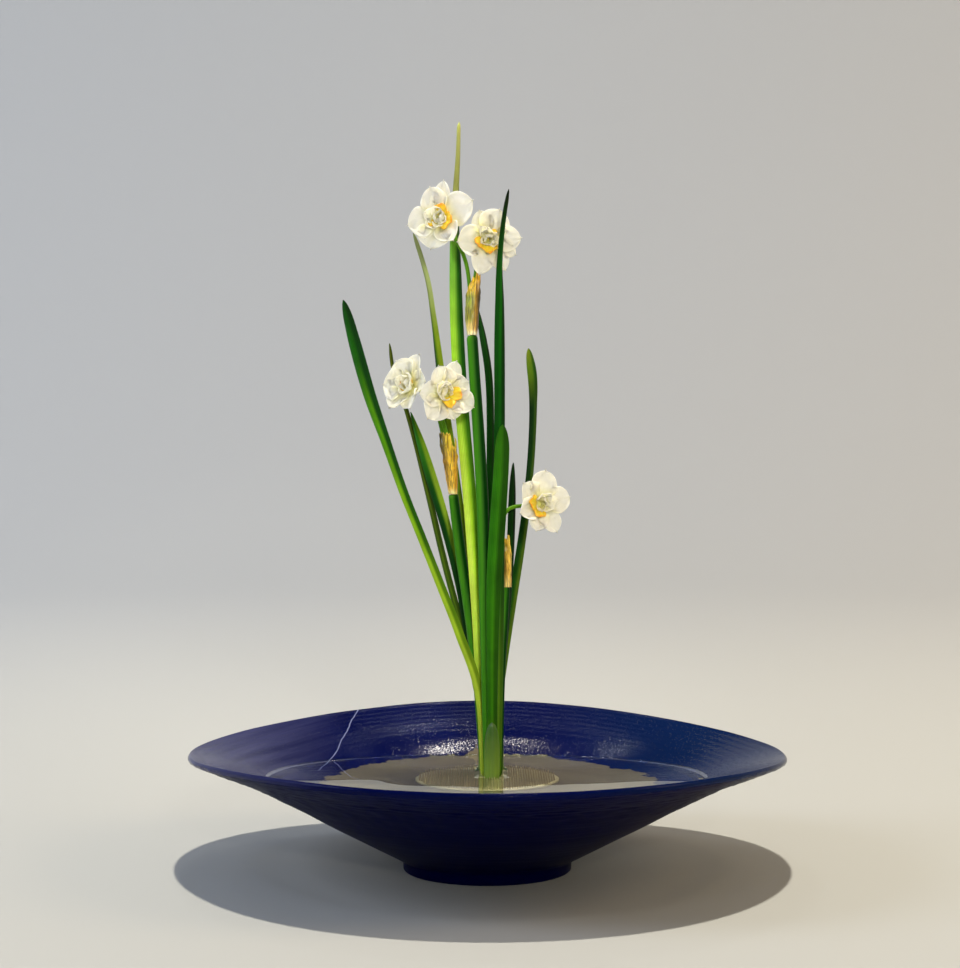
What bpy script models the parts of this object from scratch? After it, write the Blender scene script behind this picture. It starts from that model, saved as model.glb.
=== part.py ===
"""Ikebana arrangement: double narcissus on a pin holder in a shallow, water-filled stoneware bowl.

Metres, +Z up. The origin is the centre of the bowl's foot, on the table. The arrangement is looked at from -Y,
with +X to the right. Stems and leaves stand one behind another along Y, so that from the front they rise from one
spot.
"""

import math
import random

import bmesh
import bpy
from mathutils import Matrix, Vector

# ---------------------------------------------------------------------- driving dimensions
GAP = 0.0003  # clearance between pieces that touch

BOWL_RADIUS = 0.180  # rim, before its warp
BOWL_HEIGHT = 0.074  # mean height of the rim
BOWL_SIDES = 64
FOOT_RADIUS = 0.050
FLOOR_HEIGHT = 0.030  # inside floor above the table
FLOOR_RADIUS = 0.0845
WARP_START = 0.088  # the thrown bowl is round out to here,
WARP_FULL = 0.140  # and has sagged out of round from here on
WATER_LEVEL = 0.052

KENZAN_CENTRE = Vector((0.0, 0.038, FLOOR_HEIGHT + GAP))
KENZAN_RADIUS = 0.045
KENZAN_BASE = 0.005
KENZAN_SIDES = 40
PIN_TOP = 0.0485
PIN_PITCH = 0.0063
PIN_RADIUS = 0.0010

STEM_FOOT = KENZAN_CENTRE.z + KENZAN_BASE + GAP  # cut ends stand on the lead between the pins
BUNCH_LOW = Vector((-0.0052, 0.0318))  # corner of the slot that the bunch fills, seen from above
BUNCH_HIGH = Vector((0.0107, 0.0785))

FLORET_TUBE = 0.009  # length of the white tube behind a bloom
FLORET_TUBE_RADIUS = 0.0016
PETAL_THICKNESS = 0.0007


# ---------------------------------------------------------------------- materials, objects
def material(name, color, roughness, metallic=0.0):
    """A Principled material of one colour."""
    made = bpy.data.materials.new(name)
    made.use_nodes = True
    shader = made.node_tree.nodes["Principled BSDF"]
    shader.inputs["Base Color"].default_value = (*color, 1.0)
    shader.inputs["Roughness"].default_value = roughness
    shader.inputs["Metallic"].default_value = metallic
    made.diffuse_color = (*color, 1.0)
    return made


def add_object(name, bm, surface):
    """Turns a bmesh into an object with its faces pointing out."""
    bmesh.ops.recalc_face_normals(bm, faces=bm.faces)
    mesh = bpy.data.meshes.new(name)
    bm.to_mesh(mesh)
    bm.free()
    mesh.materials.append(surface)
    mesh.shade_smooth()
    mesh.set_sharp_from_angle(angle=math.radians(50))
    piece = bpy.data.objects.new(name, mesh)
    bpy.context.scene.collection.objects.link(piece)
    return piece


def combine(base, others, operation="UNION"):
    """Joins the other objects to base, or cuts them from it, in one Boolean that is applied."""
    group = bpy.data.collections.new(base.name + "_operands")
    bpy.context.scene.collection.children.link(group)
    for other in others:
        bpy.context.scene.collection.objects.unlink(other)
        group.objects.link(other)
    boolean = base.modifiers.new("combine", "BOOLEAN")
    boolean.operation = operation
    boolean.solver = "EXACT"
    boolean.operand_type = "COLLECTION"
    boolean.collection = group
    bpy.context.view_layer.update()
    joined = bpy.data.meshes.new_from_object(base.evaluated_get(bpy.context.evaluated_depsgraph_get()))
    joined.name = base.name
    base.modifiers.clear()
    base.data = joined
    for other in list(group.objects):
        bpy.data.objects.remove(other)
    bpy.data.collections.remove(group)
    return base


# ---------------------------------------------------------------------- shapes that repeat
def smooth_path(points, steps):
    """Points at equal steps of parameter on a smooth curve through the given points."""
    knots = [Vector(p) for p in points]
    slopes = []
    for i in range(len(knots)):
        before = knots[max(i - 1, 0)]
        after = knots[min(i + 1, len(knots) - 1)]
        slopes.append((after - before) / (2 if 0 < i < len(knots) - 1 else 1))
    path = []
    for step in range(steps + 1):
        place = step / steps * (len(knots) - 1)
        i = min(int(place), len(knots) - 2)
        f = place - i
        path.append(
            knots[i] * (2 * f**3 - 3 * f**2 + 1)
            + slopes[i] * (f**3 - 2 * f**2 + f)
            + knots[i + 1] * (3 * f**2 - 2 * f**3)
            + slopes[i + 1] * (f**3 - f**2)
        )
    return path


def tangents(path, stands=False):
    """Unit directions along a path. One that stands is cut level at its start."""
    ends = [(path[max(i - 1, 0)], path[min(i + 1, len(path) - 1)]) for i in range(len(path))]
    directions = [(after - before).normalized() for before, after in ends]
    if stands:
        directions[0] = Vector((0, 0, 1))
    return directions


def add_strip(bm, row_a, row_b, flip):
    """Fills two rows of vertices with triangles. flip picks the other diagonal."""
    for j in range(len(row_a) - 1):
        a, b, c, d = row_a[j], row_a[j + 1], row_b[j + 1], row_b[j]
        halves = ((a, b, c), (a, c, d)) if not flip else ((a, b, d), (b, c, d))
        for half in halves:
            bm.faces.new(half)


def add_blade(bm, path, side_at, width_at, thickness, edge, cup_at, across=3, stands=False):
    """A thin curved blade, such as a leaf or petal, closed all round.

    path runs down the middle of its convex face. side_at, width_at and cup_at give the direction across, the
    width, and how far the edges are set back, at a place from 0 to 1 along it. Both faces are split into triangles
    alike.
    """
    directions = tangents(path, stands)
    fronts, backs = [], []
    for i, (point, forward) in enumerate(zip(path, directions)):
        t = i / (len(path) - 1)
        side = side_at(t)
        side = (side - forward * side.dot(forward)).normalized()
        normal = side.cross(forward)
        width, cup = width_at(t), cup_at(t)
        front, back = [], []
        for j in range(across):
            s = 2 * j / (across - 1) - 1
            place = point + side * (s * width / 2) - normal * (cup * s * s)
            front.append(bm.verts.new(place))
            back.append(bm.verts.new(place - normal * (thickness + (edge - thickness) * s * s)))
        fronts.append(front)
        backs.append(back)
    for i in range(len(path) - 1):
        add_strip(bm, fronts[i], fronts[i + 1], flip=i % 2 == 0)
        add_strip(bm, backs[i], backs[i + 1], flip=i % 2 == 0)
        for j in (0, across - 1):
            bm.faces.new((fronts[i][j], fronts[i + 1][j], backs[i + 1][j], backs[i][j]))
    for i in (0, len(path) - 1):
        add_strip(bm, fronts[i], backs[i], flip=False)


def add_tube(bm, path, radius_at, sides, stands=False):
    """A round stem along a path, with flat ends."""
    directions = tangents(path, stands)
    across = Vector((1, 0, 0))
    rings = []
    for i, (point, forward) in enumerate(zip(path, directions)):
        across = (across - forward * across.dot(forward)).normalized()
        other = forward.cross(across)
        radius = radius_at(i / (len(path) - 1))
        ring = []
        for k in range(sides):
            angle = 2 * math.pi * k / sides
            ring.append(bm.verts.new(point + (across * math.cos(angle) + other * math.sin(angle)) * radius))
        rings.append(ring)
    for i in range(len(path) - 1):
        for k in range(sides):
            n = (k + 1) % sides
            bm.faces.new((rings[i][k], rings[i][n], rings[i + 1][n], rings[i + 1][k]))
    bm.faces.new(rings[0])
    bm.faces.new(rings[-1])


# ---------------------------------------------------------------------- bowl and water
def rim_rise(angle):
    """How far the rim stands above its mean height: low at both sides, high at the back."""
    return -0.0049 * math.cos(2 * angle) - 0.0027 * math.sin(3 * angle)


def rim_spread(angle):
    """How far the rim stands outside its mean radius."""
    oval = 0.0046 * math.cos(2 * angle) - 0.0019 * math.sin(2 * angle)
    return oval - 0.0006 - 0.0018 * math.cos(4 * angle) + 0.0072 * math.sin(3 * angle)


def warped(radius, angle, height):
    """Moves a point of the round bowl to where the sagging of the rim has taken it."""
    f = min(max((radius - WARP_START) / (WARP_FULL - WARP_START), 0.0), 1.0)
    share = (3 * f * f - 2 * f**3) * radius / BOWL_RADIUS
    spread = radius + share * rim_spread(angle)
    return Vector((spread * math.cos(angle), spread * math.sin(angle), height + share * rim_rise(angle)))


def wall_inside():
    """Inner profile from the floor's edge to the rim: a straight cone that flares near the rim."""
    return [
        (FLOOR_RADIUS, FLOOR_HEIGHT),
        (0.090, 0.0324),
        (0.113, 0.0448),
        (0.136, 0.0571),
        (0.150, 0.0637),
        (0.164, 0.0690),
        (0.1775, BOWL_HEIGHT - 0.0003),
    ]


def wall_outside():
    """Outer profile from the rim to the foot."""
    return [
        (0.1788, BOWL_HEIGHT + 0.0002),
        (BOWL_RADIUS, BOWL_HEIGHT - 0.0014),
        (0.1795, BOWL_HEIGHT - 0.0032),
        (0.164, 0.0643),
        (0.150, 0.0588),
        (0.136, 0.0520),
        (0.100, 0.0326),
        (0.0545, 0.0082),
        (0.0512, 0.0056),
        (0.0510, 0.0010),
        (FOOT_RADIUS, 0.0),
    ]


def bowl(glaze):
    """A thick-based stoneware bowl on a low, flat, turned foot."""
    bm = bmesh.new()
    profile = [(0.0, FLOOR_HEIGHT)] + wall_inside() + wall_outside() + [(0.0, 0.0)]
    corners = [bm.verts.new((r, 0.0, z)) for r, z in profile]
    edges = [bm.edges.new(pair) for pair in zip(corners, corners[1:])]
    bmesh.ops.spin(
        bm,
        geom=corners + edges,
        cent=(0, 0, 0),
        axis=(0, 0, 1),
        angle=2 * math.pi,
        steps=BOWL_SIDES,
        use_merge=True,
    )
    bmesh.ops.remove_doubles(bm, verts=bm.verts, dist=0.00001)
    for vert in bm.verts:
        radius = math.hypot(vert.co.x, vert.co.y)
        vert.co = warped(radius, math.atan2(vert.co.y, vert.co.x), vert.co.z)
    return add_object("bowl", bm, glaze)


def slot_cutter(low, high, bottom, top):
    """A round-ended block, the hole in which the bunch stands."""
    bm = bmesh.new()
    radius = (high.x - low.x) / 2
    middle = (high.x + low.x) / 2
    outline = []
    steps = 12
    for end, start in ((high.y - radius, 0.0), (low.y + radius, math.pi)):
        for k in range(steps + 1):
            angle = start + math.pi * k / steps
            outline.append(Vector((middle + radius * math.cos(angle), end + radius * math.sin(angle), bottom)))
    face = bm.faces.new([bm.verts.new(p) for p in outline])
    grown = bmesh.ops.extrude_face_region(bm, geom=[face])["geom"]
    lid = [part for part in grown if isinstance(part, bmesh.types.BMVert)]
    bmesh.ops.translate(bm, verts=lid, vec=(0, 0, top - bottom))
    return add_object("slot_cutter", bm, bpy.data.materials["water"])


def water(clear):
    """The water, with a plain hole for the bunch and a pocket over the pin holder."""
    lift = 1.3 * GAP  # upright gap to the sloping wall
    bm = bmesh.new()
    rings = []
    for k in range(BOWL_SIDES):
        angle = 2 * math.pi * k / BOWL_SIDES
        wall = [warped(r, angle, z) + Vector((0, 0, lift)) for r, z in wall_inside()]
        ring = [p for p in wall if p.z < WATER_LEVEL - 0.001]
        below, above = ring[-1], wall[len(ring)]
        ring.append(below.lerp(above, (WATER_LEVEL - below.z) / (above.z - below.z)))
        rings.append([bm.verts.new(p) for p in ring])
    floor = bm.verts.new((0, 0, FLOOR_HEIGHT + lift))
    surface = bm.verts.new((0, 0, WATER_LEVEL))
    for k, ring in enumerate(rings):
        following = rings[(k + 1) % BOWL_SIDES]
        bm.faces.new((floor, ring[0], following[0]))
        bm.faces.new((surface, ring[-1], following[-1]))
        shared = min(len(ring), len(following)) - 1
        for j in range(shared):
            if j < shared - 1:
                bm.faces.new((ring[j], following[j], following[j + 1], ring[j + 1]))
            else:
                bm.faces.new([ring[j], following[j]] + following[j + 1 :] + ring[j + 1 :][::-1])
    body = add_object("water", bm, clear)
    pocket = bmesh.new()
    low, high = FLOOR_HEIGHT - 0.002, PIN_TOP + GAP
    bmesh.ops.create_cone(
        pocket,
        cap_ends=True,
        segments=KENZAN_SIDES,
        radius1=KENZAN_RADIUS + GAP,
        radius2=KENZAN_RADIUS + GAP,
        depth=high - low,
        matrix=Matrix.Translation((KENZAN_CENTRE.x, KENZAN_CENTRE.y, (high + low) / 2)),
    )
    cutters = [
        add_object("pocket_cutter", pocket, clear),
        slot_cutter(BUNCH_LOW, BUNCH_HIGH, FLOOR_HEIGHT, WATER_LEVEL + 0.002),
    ]
    return combine(body, cutters, operation="DIFFERENCE")


# ---------------------------------------------------------------------- pin holder
def kenzan(brass):
    """A round lead plate with upright pins, which are left out where the bunch covers them."""
    bm = bmesh.new()
    bmesh.ops.create_cone(
        bm,
        cap_ends=True,
        segments=KENZAN_SIDES,
        radius1=KENZAN_RADIUS,
        radius2=KENZAN_RADIUS,
        depth=KENZAN_BASE,
        matrix=Matrix.Translation(KENZAN_CENTRE + Vector((0, 0, KENZAN_BASE / 2))),
    )
    plate = add_object("kenzan", bm, brass)
    root = KENZAN_CENTRE.z + KENZAN_BASE - 0.001
    row_step = PIN_PITCH * math.sqrt(3) / 2
    rows = int(KENZAN_RADIUS / row_step)
    pins = bmesh.new()
    for row in range(-rows, rows + 1):
        for column in range(-rows, rows + 1):
            x = KENZAN_CENTRE.x + (column + (row % 2) / 2) * PIN_PITCH
            y = KENZAN_CENTRE.y + row * row_step
            inside = math.hypot(x - KENZAN_CENTRE.x, y - KENZAN_CENTRE.y) < KENZAN_RADIUS - 0.0025
            under_bunch = (
                BUNCH_LOW.x - PIN_RADIUS < x < BUNCH_HIGH.x + PIN_RADIUS
                and BUNCH_LOW.y - PIN_RADIUS < y < BUNCH_HIGH.y + PIN_RADIUS
            )
            if inside and not under_bunch:
                bmesh.ops.create_cone(
                    pins,
                    cap_ends=True,
                    segments=3,
                    radius1=PIN_RADIUS,
                    radius2=0.0,
                    depth=PIN_TOP - root,
                    matrix=Matrix.Translation((x, y, (PIN_TOP + root) / 2)),
                )
    return combine(plate, [add_object("pins", pins, brass)])


# ---------------------------------------------------------------------- leaves
def leaf(name, green, foot, ribbon, thickness=0.0018, rings=20, cup=0.16, tip=0.14):
    """A strap leaf: channelled, narrow where it stands in the bunch, closing to a blunt tip.

    foot is where its cut end stands. Each row of ribbon is a point further along the leaf and the blade's width
    there, in millimetres, and how far the blade has twisted there, in degrees.
    """
    rows = [(*foot, STEM_FOOT * 1000, *ribbon[0][3:])] + ribbon
    line = smooth_path([Vector(row[:3]) * 0.001 for row in rows], rings)
    shape = smooth_path([(row[3] * 0.001, math.radians(row[4]), 0.0) for row in rows], rings)

    def side_at(t):
        twist = shape[round(t * rings)].y
        return Vector((math.cos(twist), math.sin(twist), 0.0))

    def width_at(t):
        closing = max((t - (1 - tip)) / tip, 0.0)
        return max(shape[round(t * rings)].x * math.sqrt(max(1 - closing**1.8, 0.0)), 0.0011)

    bm = bmesh.new()
    add_blade(bm, line, side_at, width_at, thickness, 0.0007, lambda t: cup * width_at(t), stands=True)
    return add_object(name, bm, green)


def leaves(green, young_green, blue_green):
    """The leaves, from the front of the bunch to the back where that can be told."""
    leaf(
        "leaf_front",
        green,
        foot=(3.3, 36.0),
        ribbon=[
            (3.2, 35.3, 92, 6.6, 0), (3.3, 33.8, 136, 7.8, -2), (4.0, 31.9, 171, 9.4, -4),
            (5.8, 30.2, 202, 10.1, -6), (7.7, 28.0, 232, 9.8, -8), (8.9, 25.8, 254, 9.2, -8),
            (9.4, 24.2, 270, 8.0, -8),
        ],
    )
    leaf(
        "leaf_right_tall",
        blue_green,
        foot=(6.0, 45.2),
        ribbon=[
            (7.2, 43.0, 104, 5.8, 4), (7.8, 38.5, 161, 6.2, 6), (7.8, 33.7, 224, 6.8, 8),
            (8.0, 28.6, 280, 6.8, 10), (8.0, 22.0, 316, 6.8, 14), (8.5, 17.0, 345, 6.6, 34),
            (8.8, 13.6, 369, 6.2, 58), (10.8, 10.6, 392, 5.6, 66), (13.9, 8.5, 413, 4.0, 70),
        ],
        cup=0.12,
    )
    leaf(
        "leaf_far_left",
        young_green,
        foot=(-0.9, 46.0),
        ribbon=[
            (-5.0, 47.2, 99, 5.9, -14), (-17.6, 46.2, 138, 5.9, -16), (-29.2, 45.0, 168, 5.9, -18),
            (-41.0, 43.2, 198, 6.0, -20), (-52.8, 41.0, 228, 6.1, -20), (-63.2, 38.6, 258, 6.8, -20),
            (-73.7, 36.0, 288, 8.6, -22), (-82.2, 33.2, 318, 8.8, -24), (-89.3, 30.0, 347, 7.5, -24),
        ],
        cup=0.12,
    )
    leaf(
        "leaf_tallest",
        young_green,
        foot=(0.7, 48.4),
        ribbon=[
            (-3.3, 49.8, 102, 7.4, 0), (-5.3, 50.8, 147, 8.0, 4), (-8.2, 51.4, 194, 8.6, 8),
            (-12.0, 52.2, 242, 8.7, 10), (-16.0, 52.9, 288, 8.8, 12), (-18.3, 53.2, 332, 8.8, 16),
            (-18.7, 53.6, 372, 8.6, 34), (-18.3, 54.2, 408, 8.2, 62), (-17.0, 54.7, 438, 6.6, 76),
            (-16.6, 55.0, 460, 5.0, 80),
        ],
        rings=24, tip=0.10,
    )
    leaf(
        "leaf_right_short",
        blue_green,
        foot=(5.4, 66.8),
        ribbon=[
            (5.6, 66.2, 78, 4.4, 6), (9.6, 63.4, 115, 4.6, 8), (12.7, 61.6, 150, 4.8, 12),
            (14.9, 60.4, 182, 5.0, 16), (16.2, 59.0, 213, 5.2, 20), (17.0, 58.3, 246, 4.6, 24),
        ],
        thickness=0.0014, rings=16,
    )
    leaf(
        "leaf_centre_back",
        blue_green,
        foot=(4.0, 56.2),
        ribbon=[
            (3.6, 56.8, 85, 5.6, 4), (3.2, 59.2, 146, 5.2, 8), (2.4, 59.5, 206, 5.0, 14),
            (2.6, 59.7, 272, 5.0, 18), (1.7, 59.8, 300, 5.0, 20), (-1.2, 59.9, 321, 4.8, 22),
            (-6.2, 60.0, 346, 4.0, 26),
        ],
        thickness=0.0014,
    )
    leaf(
        "leaf_left_tall",
        green,
        foot=(2.6, 59.8),
        ribbon=[
            (0.8, 59.2, 82, 6.6, 0), (-6.9, 63.0, 111, 6.6, 0), (-11.6, 63.8, 158, 6.6, -4),
            (-17.0, 64.0, 208, 6.4, -10), (-22.8, 63.6, 250, 6.2, -18), (-27.8, 63.0, 283, 6.1, -24),
            (-31.4, 62.7, 311, 6.1, -36), (-35.1, 62.3, 338, 5.8, -56), (-38.9, 62.1, 362, 5.6, -64),
            (-47.4, 62.0, 391, 4.8, -66),
        ],
        rings=22,
    )
    leaf(
        "leaf_left_broad",
        blue_green,
        foot=(-0.8, 67.5),
        ribbon=[
            (-1.0, 67.8, 78, 4.6, 0), (-6.6, 68.6, 104, 5.4, -2), (-11.2, 69.0, 134, 6.0, -4),
            (-16.8, 69.3, 166, 6.4, -6), (-23.5, 69.4, 194, 6.6, -8), (-29.9, 69.2, 217, 7.2, -10),
            (-35.8, 69.0, 236, 7.4, -12), (-42.2, 68.5, 257, 6.0, -16), (-48.8, 68.0, 278, 3.6, -20),
        ],
        cup=0.12,
    )
    leaf(
        "leaf_left_narrow",
        green,
        foot=(2.6, 69.9),
        ribbon=[
            (1.8, 70.1, 78, 4.4, -4), (-5.6, 71.6, 104, 4.4, -8), (-13.7, 72.9, 132, 4.4, -10),
            (-21.7, 74.0, 160, 4.4, -12), (-29.0, 74.8, 188, 4.3, -14), (-37.0, 75.5, 222, 4.2, -16),
            (-46.5, 76.2, 260, 3.6, -20), (-55.0, 76.5, 289, 3.0, -24), (-60.6, 76.8, 306, 2.8, -28),
            (-62.7, 77.0, 322, 2.4, -30),
        ],
        thickness=0.0014, rings=22, tip=0.06,
    )
    leaf(
        "leaf_far_right",
        green,
        foot=(2.8, 72.0),
        ribbon=[
            (3.0, 72.2, 76, 5.8, 4), (7.6, 74.4, 98, 5.8, 6), (12.3, 75.5, 129, 5.8, 8),
            (17.1, 76.2, 160, 5.8, 10), (21.9, 76.9, 190, 5.6, 12), (26.0, 77.6, 220, 5.2, 14),
            (28.8, 78.5, 250, 4.9, 14), (30.0, 79.3, 279, 5.1, 12), (29.6, 79.8, 300, 6.2, 10),
            (26.8, 80.1, 319, 6.2, 8),
        ],
        thickness=0.0014, rings=22, tip=0.09,
    )


def sheaths(pale_green):
    """The two base sheaths: a short cut leaf base in front, and a pale one round the stems at the back."""

    def stub_width(t):
        closing = max((t - 0.72) / 0.28, 0.0)
        return 0.0098 * math.sqrt(max(1 - closing**2, 0.05))

    bm = bmesh.new()
    spine = [(0.0030, 0.0328, STEM_FOOT), (0.0030, 0.0326, 0.052), (0.0031, 0.0328, 0.0845)]
    add_blade(
        bm,
        smooth_path(spine, 9),
        side_at=lambda t: Vector((1, 0, 0)),
        width_at=stub_width,
        thickness=0.0020,
        edge=0.0010,
        cup_at=lambda t: 0.18 * stub_width(t),
        stands=True,
    )
    add_object("sheath_front", bm, pale_green)
    split_sheath(
        "sheath_back",
        pale_green,
        [(0.0026, 0.0697, STEM_FOOT), (0.0026, 0.0697, 0.060), (0.0026, 0.0697, 0.079)],
        radius_at=lambda t: 0.0076,
        wall=0.0008,
        facing=-90,
        reach=155,
        slope=0.16,
        rings=5,
    )


def split_sheath(name, surface, spine, radius_at, wall, facing, reach, slope, rings, arc_steps=10):
    """A thin sheath rolled round stems and open down one side, with its top edge highest at the front.

    facing is the direction of its middle, and reach how far it wraps round to each side of that, both in degrees.
    """
    path = smooth_path(spine, 24)
    directions = tangents(path)
    bm = bmesh.new()
    outer, inner = [], []
    for i in range(rings + 1):
        outer_row, inner_row = [], []
        for k in range(arc_steps + 1):
            turn = reach * (2 * k / arc_steps - 1)
            t = i / rings * (1 - slope * abs(turn) / reach)
            place = t * (len(path) - 1)
            low = min(int(place), len(path) - 2)
            centre = path[low].lerp(path[low + 1], place - low)
            angle = math.radians(facing + turn)
            out = Vector((math.cos(angle), math.sin(angle), 0))
            out = (out - directions[low] * out.dot(directions[low])).normalized()
            outer_row.append(bm.verts.new(centre + out * radius_at(t)))
            inner_row.append(bm.verts.new(centre + out * (radius_at(t) - wall)))
        outer.append(outer_row)
        inner.append(inner_row)
    for i in range(rings):
        add_strip(bm, outer[i], outer[i + 1], flip=i % 2 == 0)
        add_strip(bm, inner[i], inner[i + 1], flip=i % 2 == 0)
        for k in (0, arc_steps):
            bm.faces.new((outer[i][k], outer[i + 1][k], inner[i + 1][k], inner[i][k]))
    for i in (0, rings):
        add_strip(bm, outer[i], inner[i], flip=False)
    return add_object(name, bm, surface)


# ---------------------------------------------------------------------- flower stems
def pedicel_radius(t):
    """A thin flower stalk that swells into the ovary at its end."""
    swelling = max(1 - abs(t - 0.75) / 0.25, 0.0)
    return 0.0012 + 0.0012 * math.sin(swelling * math.pi / 2)


def scape(name, green, spine, foot_radius, radius, top_radius, blooms):
    """A flower stem, with a stalk and ovary for each of its blooms. spine runs from the cut end to the top."""

    def radius_at(t):
        grown = foot_radius + (radius - foot_radius) * min(t / 0.4, 1.0)
        return grown + (top_radius - radius) * max((t - 0.82) / 0.18, 0.0)

    bm = bmesh.new()
    add_tube(bm, smooth_path(spine, 12), radius_at, 10, stands=True)
    stem = add_object(name, bm, green)
    top = Vector(spine[-1])
    down = (Vector(spine[-2]) - top).normalized()
    stalks = []
    for centre, facing, bend in blooms:
        facing = Vector(facing).normalized()
        back = Vector(centre) - facing * (FLORET_TUBE + 2 * GAP)
        route = [top + down * 0.004, Vector(bend), back - facing * 0.008, back - facing * 0.003, back]
        stalk = bmesh.new()
        add_tube(stalk, smooth_path(route, 11), pedicel_radius, 6)
        stalks.append(add_object(name + "_stalk", stalk, green))
    return combine(stem, stalks)


# ---------------------------------------------------------------------- blooms
def petal(bm, around, length, width, root, lift, curl, depth, rings, edge_wave=0.0):
    """One petal, out from the bloom's axis at an angle round it, rising by lift and curling back by curl."""
    out = Vector((math.cos(around), math.sin(around), 0))
    side = Vector((-math.sin(around), math.cos(around), 0))
    up = Vector((0, 0, 1))
    path = []
    for i in range(rings + 1):
        t = i / rings
        path.append(out * (root + (length - root) * t) + up * (depth + lift * math.sin(t * 2.0) - curl * t**3))

    def width_at(t):
        return max(width * math.sqrt(max(math.sin(math.pi * t**1.2), 0.0)), 0.0012)

    def side_at(t):
        return side + up * (edge_wave * math.sin(3 * t))

    add_blade(bm, path, side_at, width_at, PETAL_THICKNESS, PETAL_THICKNESS, cup_at=lambda t: 0.10 * width_at(t))


def rounded(bm, radius, depth, centre, sides=10):
    """A short tapered plug, the middle that petals grow from."""
    bmesh.ops.create_cone(
        bm,
        cap_ends=True,
        segments=sides,
        radius1=radius,
        radius2=radius * 0.75,
        depth=depth,
        matrix=Matrix.Translation(centre),
    )


def place(piece, centre, facing, roll):
    """Sets a bloom, modelled looking along +Z, at its centre and facing its way."""
    turn = Vector(facing).to_track_quat("Z", "Y") @ Matrix.Rotation(math.radians(roll), 3, "Z").to_quaternion()
    piece.rotation_mode = "QUATERNION"
    piece.rotation_quaternion = turn
    piece.location = centre
    return piece


def bloom(name, white, yellow, centre, facing, radius, roll, seed):
    """A double bloom: two whorls of three broad petals, a small inner whorl, and a tuft through a yellow ring."""
    draw = random.Random(seed)
    scale = radius / 0.0195
    parts = []
    whorls = [
        # count, length, width, root, lift, curl, depth, phase, rings
        (3, 0.0195, 0.0164, 0.0014, 0.0016, 0.0030, -0.0014, 0.0, 5),
        (3, 0.0188, 0.0156, 0.0014, 0.0030, 0.0020, 0.0004, math.pi / 3, 5),
        (5, 0.0112, 0.0070, 0.0016, 0.0050, 0.0005, 0.0020, 0.4, 3),
    ]
    for count, length, width, root, lift, curl, depth, phase, rings in whorls:
        for k in range(count):
            bm = bmesh.new()
            petal(
                bm,
                around=phase + 2 * math.pi * k / count + draw.uniform(-0.06, 0.06),
                length=length * scale * draw.uniform(0.94, 1.04),
                width=width * scale,
                root=root * scale,
                lift=lift * scale,
                curl=curl * scale * draw.uniform(0.6, 1.4),
                depth=depth * scale,
                rings=rings,
                edge_wave=draw.uniform(-0.12, 0.12),
            )
            parts.append(add_object(name + "_petal", bm, white))
    tuft = bmesh.new()
    rounded(tuft, 0.0016 * scale, 0.0072 * scale, (0, 0, 0.0054 * scale), sides=6)
    parts.append(add_object(name + "_tuft", tuft, white))
    for k in range(3):
        bm = bmesh.new()
        petal(
            bm,
            around=0.9 + 2 * math.pi * k / 3,
            length=0.0044 * scale,
            width=0.0042 * scale,
            root=0.0004 * scale,
            lift=0.0020 * scale,
            curl=0.0,
            depth=0.0082 * scale,
            rings=3,
        )
        parts.append(add_object(name + "_tuft_petal", bm, white))
    tube = bmesh.new()
    add_tube(tube, [Vector((0, 0, -FLORET_TUBE)), Vector((0, 0, -0.0010))], lambda t: FLORET_TUBE_RADIUS, 6)
    parts.append(add_object(name + "_tube", tube, white))
    hub = bmesh.new()
    rounded(hub, 0.0034 * scale, 0.0056 * scale, (0, 0, 0.0004 * scale), sides=9)
    body = combine(add_object("floret_" + name, hub, white), parts)
    place(body, centre, facing, roll)
    place(corona("corona_" + name, yellow, scale), centre, facing, roll)


def corona(name, yellow, scale):
    """The yellow crown of a bloom, a frilled ring of six lobes that the tuft of inner petals stands up through."""
    bm = bmesh.new()
    lobes, steps = 6, 18
    rows = []
    for k in range(steps):
        angle = 2 * math.pi * k / steps
        frill = math.cos(lobes * angle)
        out = Vector((math.cos(angle), math.sin(angle), 0))
        inner, outer = 0.0021, 0.0063 + 0.0007 * frill
        low, high = 0.0056, 0.0089 + 0.0005 * frill
        section = [(inner, low), (outer, high), (outer - 0.0003, high + 0.0008), (inner, low + 0.0009)]
        rows.append([bm.verts.new((out * r + Vector((0, 0, z))) * scale) for r, z in section])
    for k, row in enumerate(rows):
        following = rows[(k + 1) % steps]
        for j in range(4):
            n = (j + 1) % 4
            bm.faces.new((row[j], following[j], following[n], row[n]))
    return add_object(name, bm, yellow)


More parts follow.
